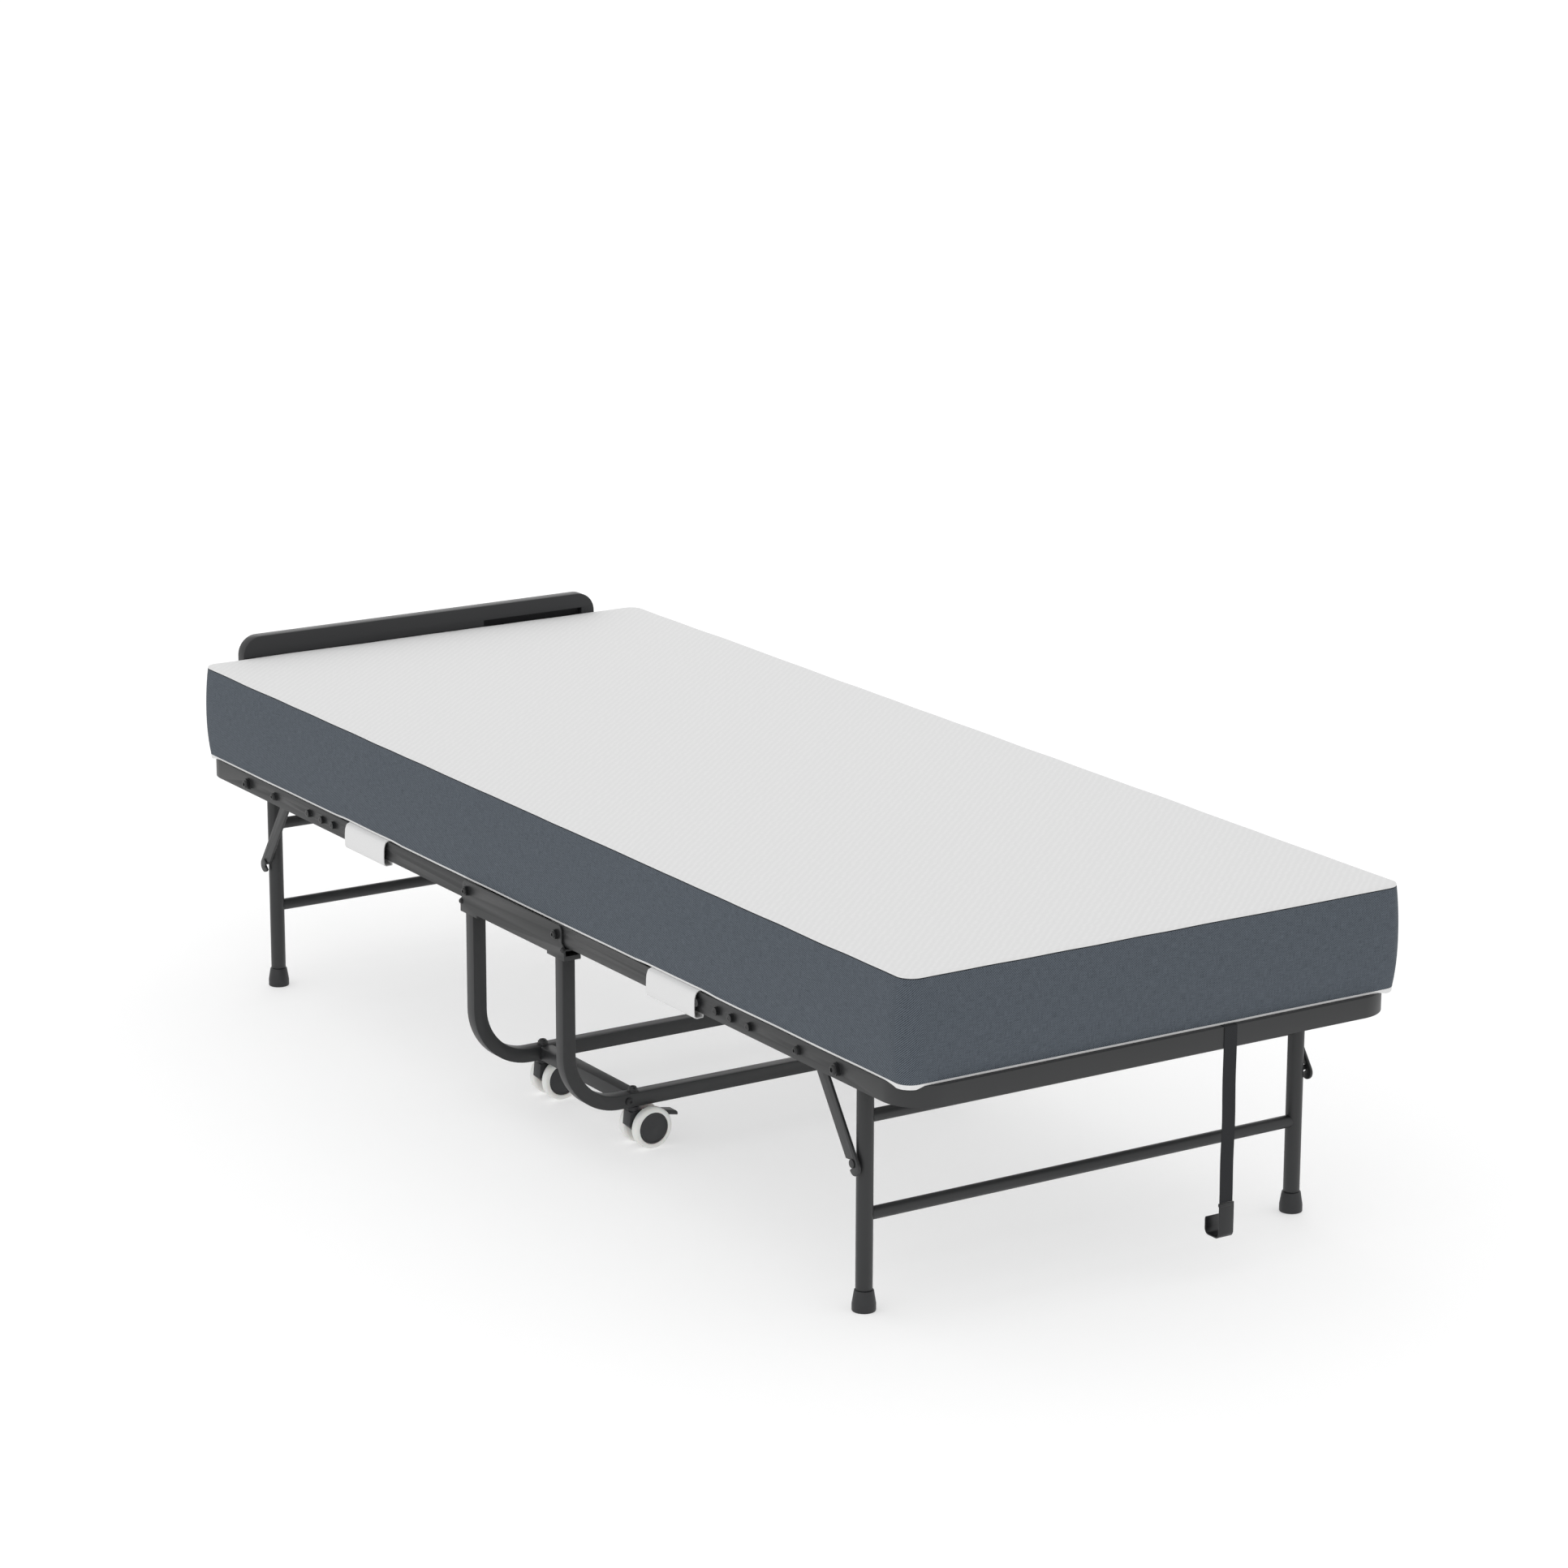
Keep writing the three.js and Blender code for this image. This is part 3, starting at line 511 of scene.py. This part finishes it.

# %% [markdown]
# ## Bolt heads
# Button-head bolts with a socket: a wide low flange, a tapered head and a shallow recess whose
# floor is painted near black, as painted shade for a deeper hex hole. Each is two cones whose
# front face is inset and pushed in, so one helper makes them all, from the small stop rivets to
# the nuts over the casters. They cover the plain CAD heads and ride with the body that they are
# screwed into.

# %% Bolt heads
def bolt_head(bm, spot, direction, base_radius, face_radius, height):
    """One head standing on spot and facing direction. The radii and height are in mm."""
    turn = direction.to_track_quat("Z", "Y").to_matrix()
    flange = min(1.6, height * 0.3)
    for radius1, radius2, start, depth in (
            (base_radius, base_radius * 0.96, 0.0, flange),
            (base_radius * 0.82, face_radius, flange, height - flange)):
        cone = bmesh.ops.create_cone(bm, cap_ends=True, segments=24, radius1=radius1 * MM,
                                     radius2=radius2 * MM, depth=depth * MM)["verts"]
        bmesh.ops.translate(bm, verts=cone, vec=(0, 0, (start + depth / 2) * MM))
        bmesh.ops.rotate(bm, verts=cone, cent=(0, 0, 0), matrix=turn)
        bmesh.ops.translate(bm, verts=cone, vec=spot)
        front = max({f for v in cone for f in v.link_faces},
                    key=lambda f: direction.dot(f.calc_center_median()))
    bmesh.ops.bevel(bm, geom=front.edges[:], offset=0.8 * MM, segments=2, affect="EDGES",
                    profile=0.5, material=-1)
    front = max((f for f in bm.faces
                 if (f.calc_center_median() - spot).length < height * 1.2 * MM),
                key=lambda f: direction.dot(f.calc_center_median()))
    bmesh.ops.inset_region(bm, faces=[front], thickness=face_radius * 0.32 * MM)
    socket = bmesh.ops.extrude_discrete_faces(bm, faces=[front])["faces"][0]
    bmesh.ops.translate(bm, verts=socket.verts, vec=-direction * height * 0.16 * MM)
    # the socket floor takes the near-black paint: painted shade for the hole's depth
    socket.material_index = 1


def heads(name, body, spots):
    bm = bmesh.new()
    for spot in spots:
        bolt_head(bm, *spot)
    made = piece(name, bm, black_oxide_steel, socket_painted_shade, smooth=35)
    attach(made, body)
    return made


def centre_of(node):
    low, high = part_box(node)
    return (low + high) / 2


LEG_HEAD = (9.0, 5.4, 8.6)  # base radius, face radius and height in mm
ARM_HEAD = (6.4, 4.2, 6.8)
CLIP_HEAD = (5.9, 3.9, 5.6)
PIVOT_HEAD = (7.0, 4.4, 7.2)
RIVET_HEAD = (4.4, 3.0, 3.0)
BEAM_HEAD = (6.0, 4.2, 5.2)
NUT_HEAD = (8.2, 5.0, 7.0)
CLIP_BOLTS = (200, 242.5, 277.5, 322)  # inboard of the leg's pivot, in mm
rail_z = centre_of("head_left_pivot_bolt").z
rail_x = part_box("head_rail")[1].x
for end, away in (("head", 1), ("foot", -1)):
    section, base = [], []
    for side, outward in (("left", -1), ("right", 1)):
        sideways = Vector((outward, 0, 0))
        leg_y = centre_of(f"{end}_{side}_leg_bolt").y
        section.append((Vector((outward * rail_x, leg_y, rail_z)), sideways, *LEG_HEAD))
        for inboard in CLIP_BOLTS:
            spot = Vector((outward * rail_x, leg_y - away * inboard * MM, rail_z))
            section.append((spot, sideways, *CLIP_HEAD))
        arm_spot = Vector((outward * rail_x, leg_y - away * 88 * MM, rail_z))
        heads(f"{end}_{side}_arm_head", f"{end}_{side}_arm", [(arm_spot, sideways, *ARM_HEAD)])
        plate = outward * (rail_x + 2.8 * MM)
        pivot_y = centre_of(f"{end}_{side}_pivot_bolt").y
        base.append((Vector((plate, pivot_y, rail_z)), sideways, *PIVOT_HEAD))
        rivet = Vector((plate, pivot_y + away * 16.65 * MM, rail_z - 18.75 * MM))
        base.append((rivet, sideways, *RIVET_HEAD))
        caster_x = centre_of(f"{side}_wheel_beam").x
        tube_z = centre_of(f"{side}_wheel_beam").z
        face_y = pivot_y + away * 10 * MM
        beam_spot = Vector((caster_x + outward * 12 * MM, face_y, tube_z))
        base.append((beam_spot, Vector((0, away, 0)), *BEAM_HEAD))
        base.append((Vector((caster_x, pivot_y, tube_z + 10 * MM)), Vector((0, 0, 1)), *NUT_HEAD))
    heads(f"{end}_rail_bolt_heads", f"{end}_section", section)
    heads(f"{end}_base_bolt_heads", "base", base)

# %% [markdown]
# ## Casters
# Twin wheels: an off-white tread with rounded shoulders on each side of the housing, and a
# flat dark hub cap in each outer face. Each wheel is a profile spun about its axle. Both wheels
# of a caster are one piece, because they turn together.

# %% Wheels
WHEEL_PROFILE = (  # radius and distance from the wheel's inner face, in mm
    (16.0, 0.0), (25.5, 0.0), (28.0, 0.8), (29.3, 2.6), (29.5, 5.0), (29.5, 9.0),
    (29.3, 11.4), (28.0, 13.2), (25.5, 14.0), (23.4, 14.0), (22.6, 13.5), (22.3, 12.6))
HUB_PROFILE = (
    (22.3, 12.6), (21.8, 13.2), (20.6, 13.4), (19.6, 13.2), (19.2, 12.6), (6.0, 12.4),
    (4.6, 12.8), (0.0, 12.9))


def spun(bm, profile, axle, side, index, steps=48):
    """profile turned a full circle about the axle, which runs along Y."""
    verts = [bm.verts.new((axle.x + r * MM, axle.y + side * y * MM, axle.z))
             for r, y in profile]
    edges = [bm.edges.new(pair) for pair in zip(verts, verts[1:])]
    before = set(bm.faces)
    bmesh.ops.spin(bm, geom=verts + edges, cent=axle, axis=(0, 1, 0), angle=math.tau,
                   steps=steps, use_merge=True)
    for face in set(bm.faces) - before:
        face.material_index = index


def caster_wheels(name, node, body):
    low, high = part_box(node)
    axle = (low + high) / 2
    bm = bmesh.new()
    inner = 10.0
    for side in (-1, 1):
        start = axle + Vector((0, side * inner * MM, 0))
        spun(bm, WHEEL_PROFILE, start, side, 0)
        spun(bm, HUB_PROFILE, start, side, 1)
        spun(bm, ((16.0, 0.0), (15.0, 0.6), (0.0, 0.6)), start, side, 1)
    shaft = bmesh.ops.create_cone(bm, cap_ends=True, segments=20, radius1=3 * MM,
                                  radius2=3 * MM, depth=2.2 * inner * MM)["verts"]
    bmesh.ops.rotate(bm, verts=shaft, cent=(0, 0, 0), matrix=Matrix.Rotation(math.pi / 2, 3, "X"))
    bmesh.ops.translate(bm, verts=shaft, vec=axle)
    bmesh.ops.remove_doubles(bm, verts=bm.verts, dist=0.01 * MM)
    made = piece(name, bm, polyurethane, hub_polypropylene, smooth=40)
    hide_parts(node)
    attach(made, body)


for end in ("head", "foot"):
    for side in ("left", "right"):
        caster_wheels(f"{end}_{side}_twin_wheels", f"{end}_{side}_caster_wheels",
                      f"{end}_{side}_wheels")
print("wheels done")

# %% [markdown]
# ## Mattress
# A foam block in a sewn cover: a white knit top, a twill boxing 139 mm high and a white
# underside. The foam holds the top flat, but the boxing bellies out between its two seams, and
# the underside is a little smaller than the top, so the boxing tucks in below. The cover is
# made as an outline pulled up row by row, cut into a grid, and then inflated with Blender's
# cloth with both seams and the flat faces held, so only the boxing moves.
# It is made in one piece and cut at the two fold lines and the middle afterwards, so that no
# join shows while the bed is open.

# %% Mattress outline and rows
low_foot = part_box("foot_mattress")[0]
high_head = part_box("head_mattress")[1]
CENTRE_X = (low_foot.x + high_head.x) / 2
HALF_X = (high_head.x - low_foot.x) / 2
CORNER = 22 * MM
BOTTOM, TOP = low_foot.z, high_head.z
FOOT_Y, HEAD_Y = low_foot.y, high_head.y
MID_Y = (FOOT_Y + HEAD_Y) / 2
PIECE_GRID = 15 * MM
SEAM_BOTTOM = 3.0 * MM
SEAM_TOP = 2.6 * MM
GROOVE = 1.3 * MM
SEAM_INSET = 0.8 * MM
BOTTOM_TUCK = 1.2 * MM
FULLNESS = 5.2 * MM


def outward_of(point):
    """The level direction from the middle of the outline's corner or side through point."""
    across = point.x - CENTRE_X
    x = max(-HALF_X + CORNER, min(HALF_X - CORNER, across))
    y = max(FOOT_Y + CORNER, min(HEAD_Y - CORNER, point.y))
    away = Vector((across - x, point.y - y, 0))
    return away.normalized() if away.length > 1e-6 else Vector((0, 0, 0))


def set_in(height):
    """How far the cover stands inside its outline at a height above its bottom, in metres.
    The boxing is cut with some fullness, so between its seams it stands outside instead."""
    share = min(1.0, max(0.0, height / (TOP - BOTTOM)))
    tuck = SEAM_INSET + BOTTOM_TUCK * max(0.0, 1 - share / 0.35) ** 2
    return tuck - FULLNESS * math.sin(math.pi * share) ** 0.75


def mattress_cover():
    bm = bmesh.new()
    corners = [bm.verts.new((CENTRE_X + x, y, BOTTOM)) for x, y in
               ((-HALF_X, FOOT_Y), (HALF_X, FOOT_Y), (HALF_X, HEAD_Y), (-HALF_X, HEAD_Y))]
    base = bm.faces.new(corners)
    bmesh.ops.bevel(bm, geom=corners, offset=CORNER, segments=8, affect="VERTICES",
                    profile=0.5, material=-1)
    base = bm.faces[:][0] if len(bm.faces) == 1 else max(bm.faces, key=lambda f: f.calc_area())
    thickness = TOP - BOTTOM
    levels = [SEAM_BOTTOM, SEAM_BOTTOM + 2 * MM]
    rows = 13
    for i in range(1, rows):
        levels.append(SEAM_BOTTOM + (thickness - SEAM_BOTTOM - SEAM_TOP - GROOVE) * i / rows)
    levels += [thickness - SEAM_TOP - GROOVE, thickness - SEAM_TOP, thickness - 0.8 * MM]
    level = 0.0
    top = base
    for target in levels:
        pulled = bmesh.ops.extrude_face_region(bm, geom=[top])["geom"]
        verts = [v for v in pulled if isinstance(v, bmesh.types.BMVert)]
        bmesh.ops.translate(bm, vec=(0, 0, target - level), verts=verts)
        if top is not base:
            bmesh.ops.delete(bm, geom=[top], context="FACES_ONLY")
        top = [f for f in pulled if isinstance(f, bmesh.types.BMFace)][0]
        level = target
    for width, rise in ((1.2 * MM, 0.55 * MM), (5.0 * MM, 0.25 * MM)):
        bmesh.ops.inset_region(bm, faces=[top], thickness=width)
        bmesh.ops.translate(bm, vec=(0, 0, rise), verts=top.verts)
    return bm


def cut_into_grid(bm):
    x = CENTRE_X - HALF_X + PIECE_GRID
    while x < CENTRE_X + HALF_X - PIECE_GRID / 2:
        bmesh.ops.bisect_plane(bm, geom=bm.verts[:] + bm.edges[:] + bm.faces[:],
                               plane_co=(x, 0, 0), plane_no=(1, 0, 0), dist=0.02 * MM)
        x += PIECE_GRID
    y = FOOT_Y + PIECE_GRID
    while y < HEAD_Y - PIECE_GRID / 2:
        bmesh.ops.bisect_plane(bm, geom=bm.verts[:] + bm.edges[:] + bm.faces[:],
                               plane_co=(0, y, 0), plane_no=(0, 1, 0), dist=0.02 * MM)
        y += PIECE_GRID


def is_boxing(height):
    return SEAM_BOTTOM * 0.9 < height < TOP - BOTTOM - SEAM_TOP - GROOVE * 0.9


def paint_cover(bm):
    """Top and underside are knit, the rows between the seams twill, the groove dark thread."""
    thickness = TOP - BOTTOM
    for face in bm.faces:
        height = face.calc_center_median().z - BOTTOM
        if abs(face.normal.z) > 0.7 or height < SEAM_BOTTOM or height > thickness - SEAM_TOP:
            face.material_index = 1
        elif height > thickness - SEAM_TOP - GROOVE:
            face.material_index = 2
        else:
            face.material_index = 0


def lay_cloth_map(bm):
    """Metres along the cloth: round the edge and up on the boxing, across and along on top."""
    uv = bm.loops.layers.uv.new("cloth")
    quarter = CORNER * math.pi / 2
    straight_x, straight_y = 2 * (HALF_X - CORNER), (HEAD_Y - FOOT_Y) - 2 * CORNER
    for face in bm.faces:
        if face.material_index == 1:
            for loop in face.loops:
                loop[uv].uv = loop.vert.co.xy
            continue
        out = outward_of(face.calc_center_median())
        for loop in face.loops:
            co = loop.vert.co
            here = outward_of(co)
            angle = math.atan2(here.y, here.x)
            if max(abs(out.x), abs(out.y)) > 0.999:
                along = co.y * out.x - co.x * out.y
                turn = round(math.atan2(out.y, out.x) / (math.pi / 2))
            else:
                turn = math.floor(math.atan2(out.y, out.x) / (math.pi / 2))
                rest = angle - turn * math.pi / 2
                if rest < -1:
                    rest += math.tau
                half = (straight_y if turn % 2 == 0 else straight_x) / 2
                middle = MID_Y if turn % 2 == 0 else 0.0
                along = half + rest * CORNER + middle * (1 if turn == 0 else -1) * (turn % 2 == 0)
            loop[uv].uv = (along + turn * (straight_x + straight_y) / 2 + turn * quarter, co.z)


mattress_bm = mattress_cover()
cut_into_grid(mattress_bm)
bmesh.ops.recalc_face_normals(mattress_bm, faces=mattress_bm.faces)
paint_cover(mattress_bm)
lay_cloth_map(mattress_bm)
for vert in mattress_bm.verts:
    vert.co -= outward_of(vert.co) * set_in(vert.co.z - BOTTOM) * (
        1 if outward_of(vert.co).length else 0)
print("cover", len(mattress_bm.verts), "points")

# %% [markdown]
# The cloth settings make the cover a soft fabric with foam pushing from inside. Points on the
# seams and on the flat faces are pinned through a vertex group. How far the boxing may belly
# out is capped, and a slow noise moves the seams by under a millimetre, because a sewn edge is
# never straight.

# %% Inflate the boxing
BELLY = 1.6 * MM
SEAM_WANDER = 0.7 * MM
RAIL_CORNER = 55 * MM
SETTLE = 1.3 * MM
SAG = 3.2 * MM
mattress = piece("mattress", mattress_bm, twill, top_knit, seam_thread, smooth=35)


def inflate(obj, frames):
    before = [v.co.copy() for v in obj.data.vertices]
    held = obj.vertex_groups.new(name="held")
    free = {i for i, co in enumerate(before)
            if is_boxing(co.z - BOTTOM) and outward_of(co).length > 0.5}
    held.add([i for i in range(len(before)) if i not in free], 1.0, "REPLACE")
    cloth = obj.modifiers.new("Cloth", "CLOTH")
    settings = cloth.settings
    settings.quality = 5
    settings.mass = 0.3
    settings.tension_stiffness = settings.compression_stiffness = 12
    settings.shear_stiffness = 5
    settings.bending_stiffness = 0.8
    settings.use_pressure = True
    settings.uniform_pressure_force = 4.0
    settings.vertex_group_mass = "held"
    settings.effector_weights.gravity = 0.0
    scene = bpy.context.scene
    scene.frame_start, scene.frame_end = 1, frames
    for number in range(1, frames + 1):
        scene.frame_set(number)
    depsgraph = bpy.context.evaluated_depsgraph_get()
    after = [v.co.copy() for v in obj.evaluated_get(depsgraph).data.vertices]
    obj.modifiers.remove(cloth)
    obj.vertex_groups.remove(held)
    scene.frame_set(1)
    moves = [b - a for a, b in zip(before, after)]
    longest = max(m.length for m in moves)
    share = min(1.0, BELLY / longest) if longest > 1e-6 else 0.0
    for vert, move in zip(obj.data.vertices, moves):
        vert.co += move * share
    print("belly before the cap", round(longest / MM, 1), "mm")


inflate(mattress, 16)
rail_low, rail_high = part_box("foot_rail")[0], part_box("head_rail")[1]
BAND_CENTRES = [centre_of(f"{end}_left_band").y for end in ("head", "foot")]


def overhang(co):
    """How far a point lies outside the rails' rounded corners, in metres."""
    x = max(0.0, abs(co.x) - (rail_high.x - RAIL_CORNER))
    y = max(0.0, co.y - (rail_high.y - RAIL_CORNER), rail_low.y + RAIL_CORNER - co.y)
    return (x * x + y * y) ** 0.5 - RAIL_CORNER


def droop(co):
    """The rim settles onto the rails between the bands, and sags where a corner overhangs."""
    clear = min(abs(co.y - y) for y in BAND_CENTRES) / (75 * MM)
    settle = SETTLE * min(1.0, max(0.0, (clear - 1) * 3))
    if co.z - BOTTOM > SEAM_BOTTOM / 2:
        return settle
    return settle + SAG * min(1.0, max(0.0, overhang(co) + 1 * MM) / (6 * MM))


for vert in mattress.data.vertices:
    out = outward_of(vert.co)
    if vert.co.z - BOTTOM < SEAM_BOTTOM * 1.1 and out.length > 0.5:
        vert.co.z -= droop(vert.co)
    if out.length > 0.5:
        drift = noise.noise(Vector((vert.co.x, vert.co.y, 0)) / 0.09)
        vert.co += out * drift * SEAM_WANDER
        if vert.co.z - BOTTOM > 0.02:
            lift = noise.noise(Vector((vert.co.x, vert.co.y, 7)) / 0.07)
            vert.co.z += lift * SEAM_WANDER * min(1.0, (vert.co.z - BOTTOM) / 0.1)

# %% [markdown]
# ## Cutting the mattress at its folds
# Real foam bends where the frame folds. A rigid copy can't, so the mattress is cut at the fold
# lines: each outer piece rides on its section, and the two middle pieces ride on the base.

# %% Four pieces
FOLD_HEAD = next(j for j in frame["joints"] if j["name"] == "head_fold")["pos_m"][1]
FOLD_FOOT = next(j for j in frame["joints"] if j["name"] == "foot_fold")["pos_m"][1]
FOLD_MID = (FOLD_HEAD + FOLD_FOOT) / 2


def mattress_part(name, y0, y1):
    bm = bmesh.new()
    bm.from_mesh(mattress.data)
    for y, side in ((y0, -1), (y1, 1)):
        if y is None:
            continue
        cut = bmesh.ops.bisect_plane(bm, geom=bm.verts[:] + bm.edges[:] + bm.faces[:],
                                     plane_co=(0, y, 0), plane_no=(0, side, 0),
                                     dist=0.01 * MM, clear_outer=True)
        rim = [e for e in cut["geom_cut"] if isinstance(e, bmesh.types.BMEdge)]
        caps = bmesh.ops.holes_fill(bm, edges=rim)["faces"]
        for cap in caps:
            cap.material_index = 0
    obj = piece(name, bm, twill, top_knit, seam_thread, smooth=35)
    return obj


def fold_piece(name, y0, y1, body, joint, keep, *nodes):
    part = mattress_part(name, y0, y1)
    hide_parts(*nodes)
    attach(part, body)
    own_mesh(part)
    return part


fold_piece("mattress_head", FOLD_HEAD, None, "head_section", "head_fold", 0.75, "head_mattress")
fold_piece("mattress_foot", None, FOLD_FOOT, "foot_section", "foot_fold", 0.75, "foot_mattress")
fold_piece("mattress_middle_head", FOLD_MID, FOLD_HEAD, "base", "head_fold", 0.08,
           "centre_mattress")
fold_piece("mattress_middle_foot", FOLD_FOOT, FOLD_MID, "base", "foot_fold", 0.08,
           "centre_mattress")
bpy.data.objects.remove(mattress)

# %% [markdown]
# ## Cloth bands
# Four white bands tie the mattress to the side rails. Each comes out from under the mattress,
# hangs outside the rail and turns in below it. They are sheets: a strip about 119 mm wide,
# pulled along its side view and given its thickness.

# %% Bands
BAND_THICK = 1.1 * MM


def band_line(outward, low, high):
    """The band's side view, as points in X and Z, from under the mattress to under the rail."""
    edge = rail_x * 1.0
    rail_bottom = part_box("head_rail")[0].z
    out = abs(low.x if outward < 0 else high.x) - BAND_THICK
    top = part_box("head_rail")[1].z
    points = [(edge - 14 * MM, top + 0.9 * MM), (edge - 6 * MM, top + 0.9 * MM),
              (edge - 1 * MM, top + 0.8 * MM), (edge + 3 * MM, top - 0.8 * MM),
              (edge + 4.6 * MM, top - 4 * MM), (out - 0.6 * MM, top - 8 * MM),
              (out, top - 14 * MM), (out + 0.3 * MM, rail_bottom + 4 * MM),
              (out, low.z + 5 * MM), (out - 1.5 * MM, low.z + 2.0 * MM),
              (out - 4.5 * MM, low.z + 0.8 * MM), (out - 14 * MM, low.z + 1.2 * MM),
              (edge - 8 * MM, rail_bottom - 3.2 * MM), (edge - 14 * MM, rail_bottom - 1.4 * MM)]
    return [(outward * x, z) for x, z in points]


for end in ("head", "foot"):
    for side, outward in (("left", -1), ("right", 1)):
        node_name = f"{end}_{side}_band"
        low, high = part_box(node_name)
        line = band_line(outward, low, high)
        y = (low.y + high.y) / 2
        path = [(x, y, z) for x, z in line]
        half = Vector((0, (high.y - low.y) / 2, 0))
        band = ribbon(node_name + "_cloth", path, half, BAND_THICK, band_cloth, 16)
        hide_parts(node_name)
        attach(band, f"{end}_section")

# %% [markdown]
# ## Floor and light
# A plain pale floor and two large soft lights: the main one stands left of the foot end, so
# the side rail is lighter than the foot rail, and a rim light stands behind the head end, off
# to the right.

# %% Stage
floor_bm = bmesh.new()
bmesh.ops.create_grid(floor_bm, x_segments=1, y_segments=1, size=20.0)
floor_material, floor_tree, floor_shader = start_material("pale_floor", Roughness=0.9)
floor_shader.inputs["Base Color"].default_value = colour("#c8c8c8")
floor_shader.inputs["Emission Color"].default_value = (1.0, 1.0, 1.0, 1.0)
floor_shader.inputs["Emission Strength"].default_value = 0.45
floor = piece("floor", floor_bm, floor_material)

bpy.context.scene.view_settings.view_transform = "Standard"
world = bpy.data.worlds.new("studio")
bpy.context.scene.world = world
world.use_nodes = True
sky = world.node_tree.nodes["Background"]
sky.inputs["Color"].default_value = (1.0, 1.0, 1.0, 1.0)
sky.inputs["Strength"].default_value = 1.0


def soft_light(name, place, target, size, power):
    light = bpy.data.lights.new(name, "AREA")
    light.shape = "RECTANGLE"
    light.size, light.size_y = size
    light.energy = power
    obj = bpy.data.objects.new(name, light)
    obj.location = place
    obj.rotation_euler = (Vector(target) - Vector(place)).to_track_quat("-Z", "Y").to_euler()
    bpy.context.scene.collection.objects.link(obj)


soft_light("main", (-4.5, -1.2, 2.6), (0, 0, 0.3), (4.0, 2.5), 14)
soft_light("rim", (3.2, 5.6, 1.9), (0, 0.4, 0.4), (5.0, 2.0), 45)

# %% [markdown]
# ## Done

# %% Sizes and finish
def corners(box):
    return [[round(float(c), 5) for c in corner] for corner in box]
